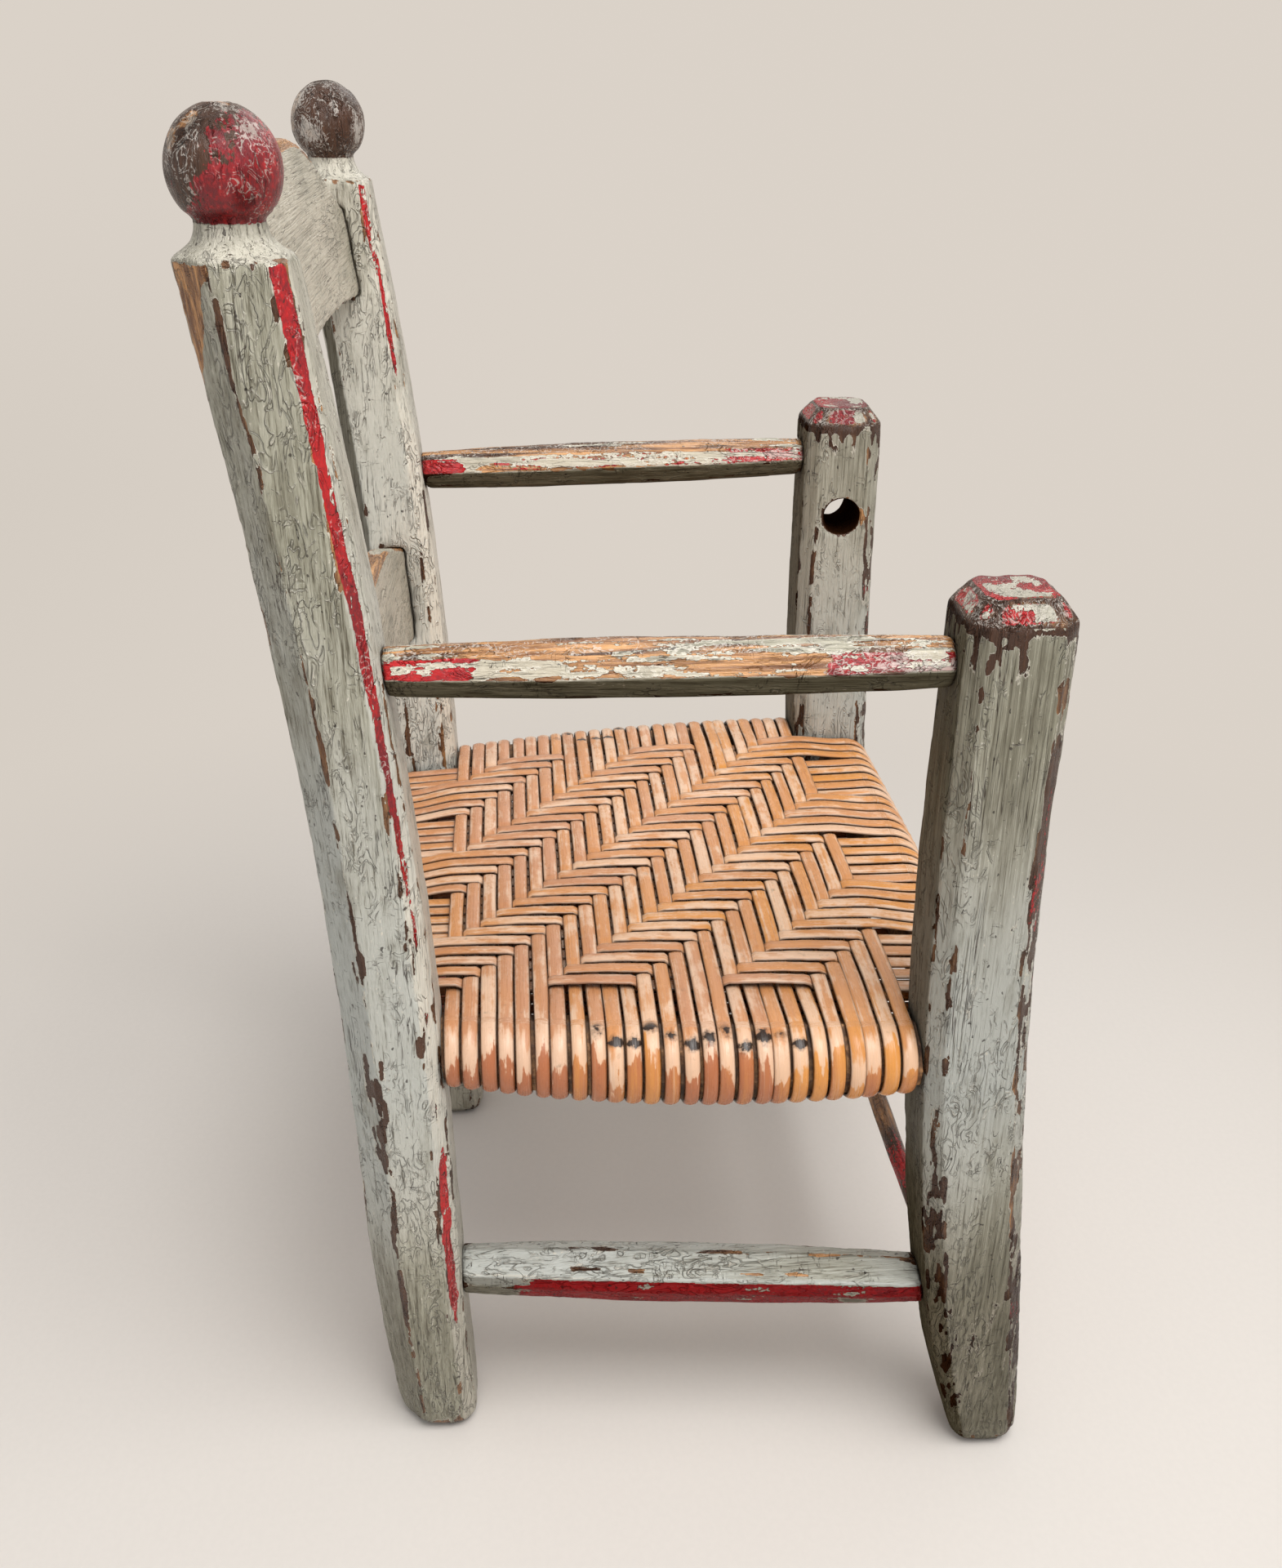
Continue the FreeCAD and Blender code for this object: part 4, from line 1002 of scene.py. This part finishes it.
def painted_wood():
    """Bare wood, red paint and grey-green paint, each worn through to the one below."""
    s = Shader("worn_paint")
    grain = s.attribute("grain", "Vector")
    streak = s.noise(grain, (420, 420, 45), 4.0)
    patch = s.noise(grain, (170, 170, 60), 5.0, 0.62)
    speck = s.noise(grain, (900, 900, 500), 2.0)
    broad = s.noise(grain, (30, 30, 11), 3.0)
    curls = s.noise(grain, (160, 160, 70), 1.5, 0.5, 2.0)
    brush = s.noise(grain, (800, 800, 14), 5.0, 0.65)
    hair = s.noise(grain, (2600, 2600, 70), 2.0)

    drive = s.varied(s.attribute("wear"), (streak, 0.28), (patch, 0.48), (speck, 0.24))
    bare = s.step(drive, 0.487, 0.513)
    rim = s.math("SUBTRACT", s.step(drive, 0.420, 0.470), bare)
    red_drive = s.varied(s.attribute("red"), (streak, 0.50), (speck, 0.45), (patch, 0.35))
    red_left = s.step(red_drive, 0.46, 0.52)

    ring = s.noise(grain, (520, 520, 16), 5.0, 0.65)
    wood = s.mix(s.step(ring, 0.35, 0.65), WOOD_BROWN, WOOD_ORANGE)
    soot = s.varied(s.attribute("dark"), (patch, 0.6), (streak, 0.4))
    wood = s.mix(s.step(soot, 0.45, 0.95), wood, s.mix(ring, WOOD_BLACK, WOOD_STAINED))
    wood = s.tinted(wood, WOOD_BLACK, soot, 1.05, 1.45, 0.8)
    red = s.mix(s.step(s.varied(broad, (speck, 0.5)), 0.35, 0.65), RED_DARK, RED)
    under = s.mix(red_left, wood, red)

    tone = s.varied(0.5, (broad, 0.9), (brush, 1.5), (hair, 0.6), (patch, 0.5))
    top = s.mix(s.step(tone, 0.15, 0.85), SAGE_DARK, SAGE)
    tint = s.varied(s.attribute("pale"), (broad, 0.8), (brush, 0.8), (hair, 0.4))
    top = s.mix(s.step(tint, 0.15, 0.95), top, s.mix(s.attribute("blue"), PALE_SAGE, PALE_BLUE))
    top = s.tinted(top, CREAM, tint, 1.0, 1.8)
    stain = s.noise(grain, (75, 75, 24), 5.0, 0.65)
    top = s.tinted(top, SAGE_DARK, stain, 0.52, 0.74, 0.72)
    furrow = s.step(s.varied(brush, (hair, 0.6)), 0.42, 0.27)
    top = s.mix(s.times(furrow, 0.75), top, SAGE_SHADE)
    curled = s.step(s.varied(broad, (patch, 1.2)), 0.46, 0.66)
    # Painted highlight in cream along the ridges of the curls, and painted shade in the valleys beside them.
    highlit_ridge = s.times(s.thin_line(curls, 0.028), curled)
    valley = s.times(s.thin_line(s.add(curls, -0.052), 0.030), curled)
    top = s.mix(s.times(valley, 0.40), top, SAGE_SHADE)
    top = s.mix(s.times(highlit_ridge, 0.55), top, CREAM)
    flecks = s.add(s.centred(speck, 1.0), s.centred(brush, 0.8), s.centred(curls, 0.4))
    top = s.tinted(top, CREAM, flecks, 0.22, 0.36, 0.85)

    colour = s.mix(s.times(rim, 0.75), top, CREAM)
    colour = s.mix(bare, colour, under)
    scratch = s.noise(grain, (190, 190, 160), 2.5, 0.5, 1.8)
    scuff_drive = s.varied(s.attribute("scuff"), (patch, 1.1), (speck, 0.6))
    rubbed = s.times(s.step(scuff_drive, 0.82, 0.92), 0.65)
    scraped = s.times(s.thin_line(scratch, 0.040), s.step(scuff_drive, 0.46, 0.60))
    scuffed = s.math("MAXIMUM", rubbed, s.times(scraped, 0.65))
    colour = s.mix(scuffed, colour, SCUFF_GREY)

    crack_noise = s.noise(grain, (260, 260, 7), 3.0, 0.6)
    crack_zone = s.step(s.noise(grain, (45, 45, 18)), 0.53, 0.63)
    crack = s.times(s.thin_line(crack_noise, 0.010), crack_zone)
    check_noise = s.noise(grain, (60, 60, 260), 3.0, 0.6, 0.5)
    check_zone = s.step(s.noise(grain, (95, 95, 75)), 0.57, 0.63)
    check = s.times(s.thin_line(check_noise, 0.007), check_zone)
    crack = s.math("MAXIMUM", crack, check)
    colour = s.mix(s.times(crack, 0.80), colour, WOOD_DARK)
    flyspecks = s.step(s.noise(grain, (420, 420, 300), 1.0), 0.735, 0.755)
    colour = s.mix(s.times(flyspecks, 0.8), colour, WOOD_BLACK)
    # Darkened by dirt, and by painted shade on parts that turn away from the light.
    colour = s.mix(s.attribute("grime"), colour, GRIME_AND_SHADE_TINT, "MULTIPLY")
    # Painted shade in crevices and between close parts.
    nearby = s.crevices(CREVICE_REACH)
    colour = s.mix(s.step(nearby, 0.25, 0.8, 0.7, 0.0), colour, s.mix(0.75, colour, WOOD_BLACK))

    gloss = s.add(0.36, s.centred(patch, 0.35), s.centred(speck, 0.25), s.times(bare, -0.12))
    height = s.add(s.times(bare, -0.55), s.times(rim, 0.15), s.times(highlit_ridge, 0.6), s.times(valley, -0.4),
                   s.centred(curls, 0.5), s.centred(brush, 0.55), s.centred(hair, 0.25),
                   s.centred(streak, 0.25), s.times(crack, -0.9))
    shine = s.step(s.attribute("grime"), 0.2, 0.95, 0.5, 0.0)
    s.feed(s.surface.inputs["Specular IOR Level"], shine)
    return s.finish(colour, gloss, height, PAINT_RELIEF)


def splint():
    """Split ash strips, worn pale on their crowns and still varnished round the rails."""
    s = Shader("ash_splint")
    across = s.attribute("across")
    aside = s.math("ABSOLUTE", across)
    tone = s.attribute("tone")
    run = s.attribute("run")
    wrap = s.attribute("wrap")
    sideways = s.times(across, STRIP_HALF_WIDTH)
    apart = s.times(tone, STRIP_APART)
    place = s.node("ShaderNodeCombineXYZ", {"X": sideways, "Y": apart, "Z": run}).outputs[0]
    fibre = s.noise(place, (1500, 1, 22), 4.0, 0.6)
    streak = s.noise(place, (420, 1, 30), 3.0)
    blotch = s.noise(place, (170, 1, 85), 4.0, 0.6)
    slow = s.noise(place, (40, 1, 14), 2.0)

    spot_on_seat = s.node("ShaderNodeTexCoord").outputs["Object"]
    region = s.noise(spot_on_seat, (9, 9, 9), 2.0)
    depth = s.node("ShaderNodeSeparateXYZ", {"Vector": spot_on_seat}).outputs["Y"]
    # Warmer, brighter hues towards the front of the seat: a painted pool of light.
    lit_front = s.step(depth, SEAT_BACK, SEAT_FRONT)
    hue = s.add(s.times(tone, 0.70), s.centred(slow, 0.8), s.centred(region, 1.2), s.times(lit_front, 0.38))
    body = s.mix(s.step(hue, 0.05, 0.60), SPLINT_PINK, SPLINT_TAN)
    body = s.tinted(body, SPLINT_ORANGE, s.varied(hue, (blotch, 0.6)), 0.62, 1.0)
    body = s.tinted(body, SPLINT_VARNISH, fibre, 0.42, 0.72, 0.50)
    # Pale worn fibres, growing paler towards the edges of each strip, where the paleness is a painted
    # highlight on the rounded sides.
    rubbed = s.add(s.centred(fibre, 1.3), s.centred(blotch, 1.2), s.times(aside, 0.35), -0.05)
    body = s.tinted(body, SPLINT_WORN, rubbed, 0.12, 0.46, 0.75)
    own_start = s.centred(s.math("FRACT", s.times(tone, OWN_START_TURNS)), 0.34)
    varnish = s.add(wrap, own_start, s.centred(blotch, 0.50), s.centred(streak, 0.50), s.centred(slow, 0.3))
    worn_edge = s.times(s.step(varnish, 0.02, 0.18), s.step(varnish, 0.44, 0.34))
    body = s.mix(s.times(worn_edge, 0.65), body, SPLINT_WORN)
    glazed = s.mix(s.step(s.varied(hue, (streak, 0.8)), 0.35, 1.05), SPLINT_RUST, SPLINT_ORANGE)
    glazed = s.tinted(glazed, SPLINT_WORN, s.centred(fibre, 1.0), 0.05, 0.25, 0.35)
    body = s.tinted(body, glazed, varnish, 0.36, 0.40, 0.92)
    # Painted shade on the underside of the weave, dull and dark, which also keeps its orange bounce off the
    # floor.
    body = s.tinted(body, SPLINT_UNDERSIDE_SHADE, wrap, 0.80, 0.95, 0.85)
    # Darker strip edges: painted shade on their rounded sides, with varnish left along them.
    rim = s.step(s.varied(aside, (blotch, 0.2)), 0.70, 1.03, 0.0, 0.8)
    body = s.mix(rim, body, SPLINT_SHADE)
    char = s.noise(place, (420, 1, 420), 3.0, 0.6)
    spot = s.add(s.attribute("burn"), s.times(s.times(across, across), -0.35), s.centred(blotch, 0.7),
                 s.centred(char, 1.1))
    body = s.tinted(body, WOOD_DARK, spot, 0.08, 0.50, 0.55)
    body = s.tinted(body, WOOD_BLACK, spot, 0.38, 0.54, 0.97)
    # Painted shade in the gaps between the strips.
    nearby = s.crevices(WEAVE_CREVICE_REACH)
    body = s.mix(s.step(nearby, 0.12, 0.68, 0.92, 0.0), body, SPLINT_SHADE)

    roughness = s.varied(0.27, (blotch, 0.3), (fibre, 0.2))
    height = s.add(s.centred(fibre, 0.8), s.centred(streak, 0.5))
    return s.finish(body, roughness, height, FIBRE_RELIEF)


def bare_wood():
    """Shaved rails and pegs under the weave, brown with age."""
    s = Shader("bare_wood")
    place = s.node("ShaderNodeTexCoord").outputs["Object"]
    long_grain = s.noise(place, (260, 260, 260), 5.0, 0.65, 0.8)
    blotch = s.noise(place, (45, 45, 45), 3.0)
    colour = s.mix(s.step(long_grain, 0.35, 0.7), WOOD_BROWN, WOOD_ORANGE)
    colour = s.mix(s.step(blotch, 0.35, 0.7, 0.85, 0.25), colour, WOOD_BLACK)
    return s.finish(colour, s.varied(0.6, (long_grain, 0.3)), long_grain, GRAIN_RELIEF)


def backdrop_paper():
    """Pale paper that keeps the shadow near the chair; further off it glows, lighter towards the camera and
    darker to the left in painted light and shade, and evens out to one tone far off.
    """
    s = Shader("backdrop_paper")
    place = s.node("ShaderNodeTexCoord").outputs["Object"]
    fibre = s.noise(place, (300, 300, 300), 2.0)
    colour = s.mix(s.step(fibre, 0.3, 0.7), tuple(FIBRE_TONE * part for part in BACKDROP), BACKDROP)
    s.feed(s.surface.inputs["Base Color"], colour)
    s.surface.inputs["Roughness"].default_value = 0.9
    s.surface.inputs["Specular IOR Level"].default_value = 0.1
    parts = s.node("ShaderNodeSeparateXYZ", {"Vector": place}).outputs
    distance = s.node("ShaderNodeVectorMath", {0: place}, operation="LENGTH").outputs["Value"]
    fade = s.step(distance, *TONE_FADE, 1.0, 0.0)
    # Further off, the glowing paper is painted lighter towards the camera and darker to the left: painted
    # light and shade.
    far_tone = s.mix(s.times(s.step(parts["Y"], *LEFT_TONE), fade), BACKDROP_FAR, BACKDROP_LEFT_SHADED)
    far_tone = s.mix(s.times(s.step(parts["X"], *NEAR_TONE), fade), far_tone, BACKDROP_NEAR_LIT)
    glow = s.node("ShaderNodeEmission", {"Color": far_tone, "Strength": 1.0})
    path = s.node("ShaderNodeLightPath").outputs
    mirrored_rays = s.math("MAXIMUM", path["Is Glossy Ray"], path["Is Transmission Ray"])
    seen = s.math("MAXIMUM", path["Is Camera Ray"], mirrored_rays)
    share = s.times(seen, s.step(distance, SHADOW_REACH, PAPER_EVEN_REACH))
    blend = s.node("ShaderNodeMixShader", {0: share, 1: s.surface.outputs[0], 2: glow.outputs[0]})
    s.tree.links.new(blend.outputs[0], s.tree.nodes["Material Output"].inputs["Surface"])
    return s.material


# Studio

def build_backdrop():
    """Paper that runs along the floor and sweeps up behind the chair."""
    profile = [(-FLOOR_REACH, 0.0), (0.0, 0.0)]
    for step in range(SWEEP_STEPS + 1):
        angle = math.pi / 2 * step / SWEEP_STEPS
        profile.append((SWEEP_START + SWEEP_RADIUS * math.sin(angle), SWEEP_RADIUS * (1 - math.cos(angle))))
    profile.append((SWEEP_START + SWEEP_RADIUS, SWEEP_HEIGHT))
    points = [(x, y, z) for x, z in profile for y in (-FLOOR_REACH, FLOOR_REACH)]
    faces = [(2 * i, 2 * i + 2, 2 * i + 3, 2 * i + 1) for i in range(len(profile) - 1)]
    mesh = bpy.data.meshes.new("backdrop")
    mesh.from_pydata(points, [], faces)
    mesh.shade_smooth()
    mesh.materials.append(backdrop_paper())
    backdrop = bpy.data.objects.new("backdrop", mesh)
    bpy.context.scene.collection.objects.link(backdrop)


def add_softbox(name, place, aim, size, power):
    lamp = bpy.data.lights.new(name, "AREA")
    lamp.shape = "DISK"
    lamp.size = size
    lamp.energy = power
    lamp.color = NEUTRAL
    obj = bpy.data.objects.new(name, lamp)
    obj.location = place
    obj.rotation_euler = (Vector(aim) - Vector(place)).to_track_quat("-Z", "Y").to_euler()
    bpy.context.scene.collection.objects.link(obj)
    return obj


def build_light():
    world = bpy.data.worlds.new("studio")
    world.use_nodes = True
    tree = world.node_tree
    room = tree.nodes["Background"]
    room.inputs["Color"].default_value = (*NEUTRAL, 1.0)
    room.inputs["Strength"].default_value = ROOM_LIGHT
    paper = tree.nodes.new("ShaderNodeBackground")
    paper.inputs["Color"].default_value = (*BACKDROP_FAR, 1.0)
    path = tree.nodes.new("ShaderNodeLightPath")
    blend = tree.nodes.new("ShaderNodeMixShader")
    tree.links.new(path.outputs["Is Camera Ray"], blend.inputs[0])
    tree.links.new(room.outputs[0], blend.inputs[1])
    tree.links.new(paper.outputs[0], blend.inputs[2])
    tree.links.new(blend.outputs[0], tree.nodes["World Output"].inputs["Surface"])
    bpy.context.scene.world = world
    add_softbox("key", **KEY_LAMP)
    add_softbox("fill", **FILL_LAMP)
    sheen = add_softbox("sheen", **SHEEN_LAMP)
    sheen.visible_diffuse = False
    under = add_softbox("under", **FLOOR_LAMP)
    under.visible_camera = False
    under.visible_glossy = False


def build_camera():
    heading = Matrix.Rotation(-math.pi / 2 - CAMERA_YAW, 4, "Z")
    tilt = Matrix.Rotation(math.pi / 2 - CAMERA_PITCH, 4, "X")
    roll = Matrix.Rotation(CAMERA_ROLL, 4, "Z")
    data = bpy.data.cameras.new("camera")
    data.sensor_fit = "VERTICAL"
    data.sensor_height = SENSOR_HEIGHT
    data.lens = CAMERA_LENS
    data.clip_start = CAMERA_CLIP
    camera = bpy.data.objects.new("camera", data)
    camera.matrix_world = Matrix.Translation(CAMERA_PLACE) @ heading @ tilt @ roll
    bpy.context.scene.collection.objects.link(camera)
    bpy.context.scene.camera = camera


bpy.context.scene.view_settings.view_transform = "Standard"
build_hewn_pieces(painted_wood())
build_seat(splint())
plain = bare_wood()
for name in ("seat_rail_front", "seat_rail_back", "seat_rail_left", "seat_rail_right", "slat_pegs"):
    nodes[name].data.materials.clear()
    nodes[name].data.materials.append(plain)
build_backdrop()
build_light()
build_camera()
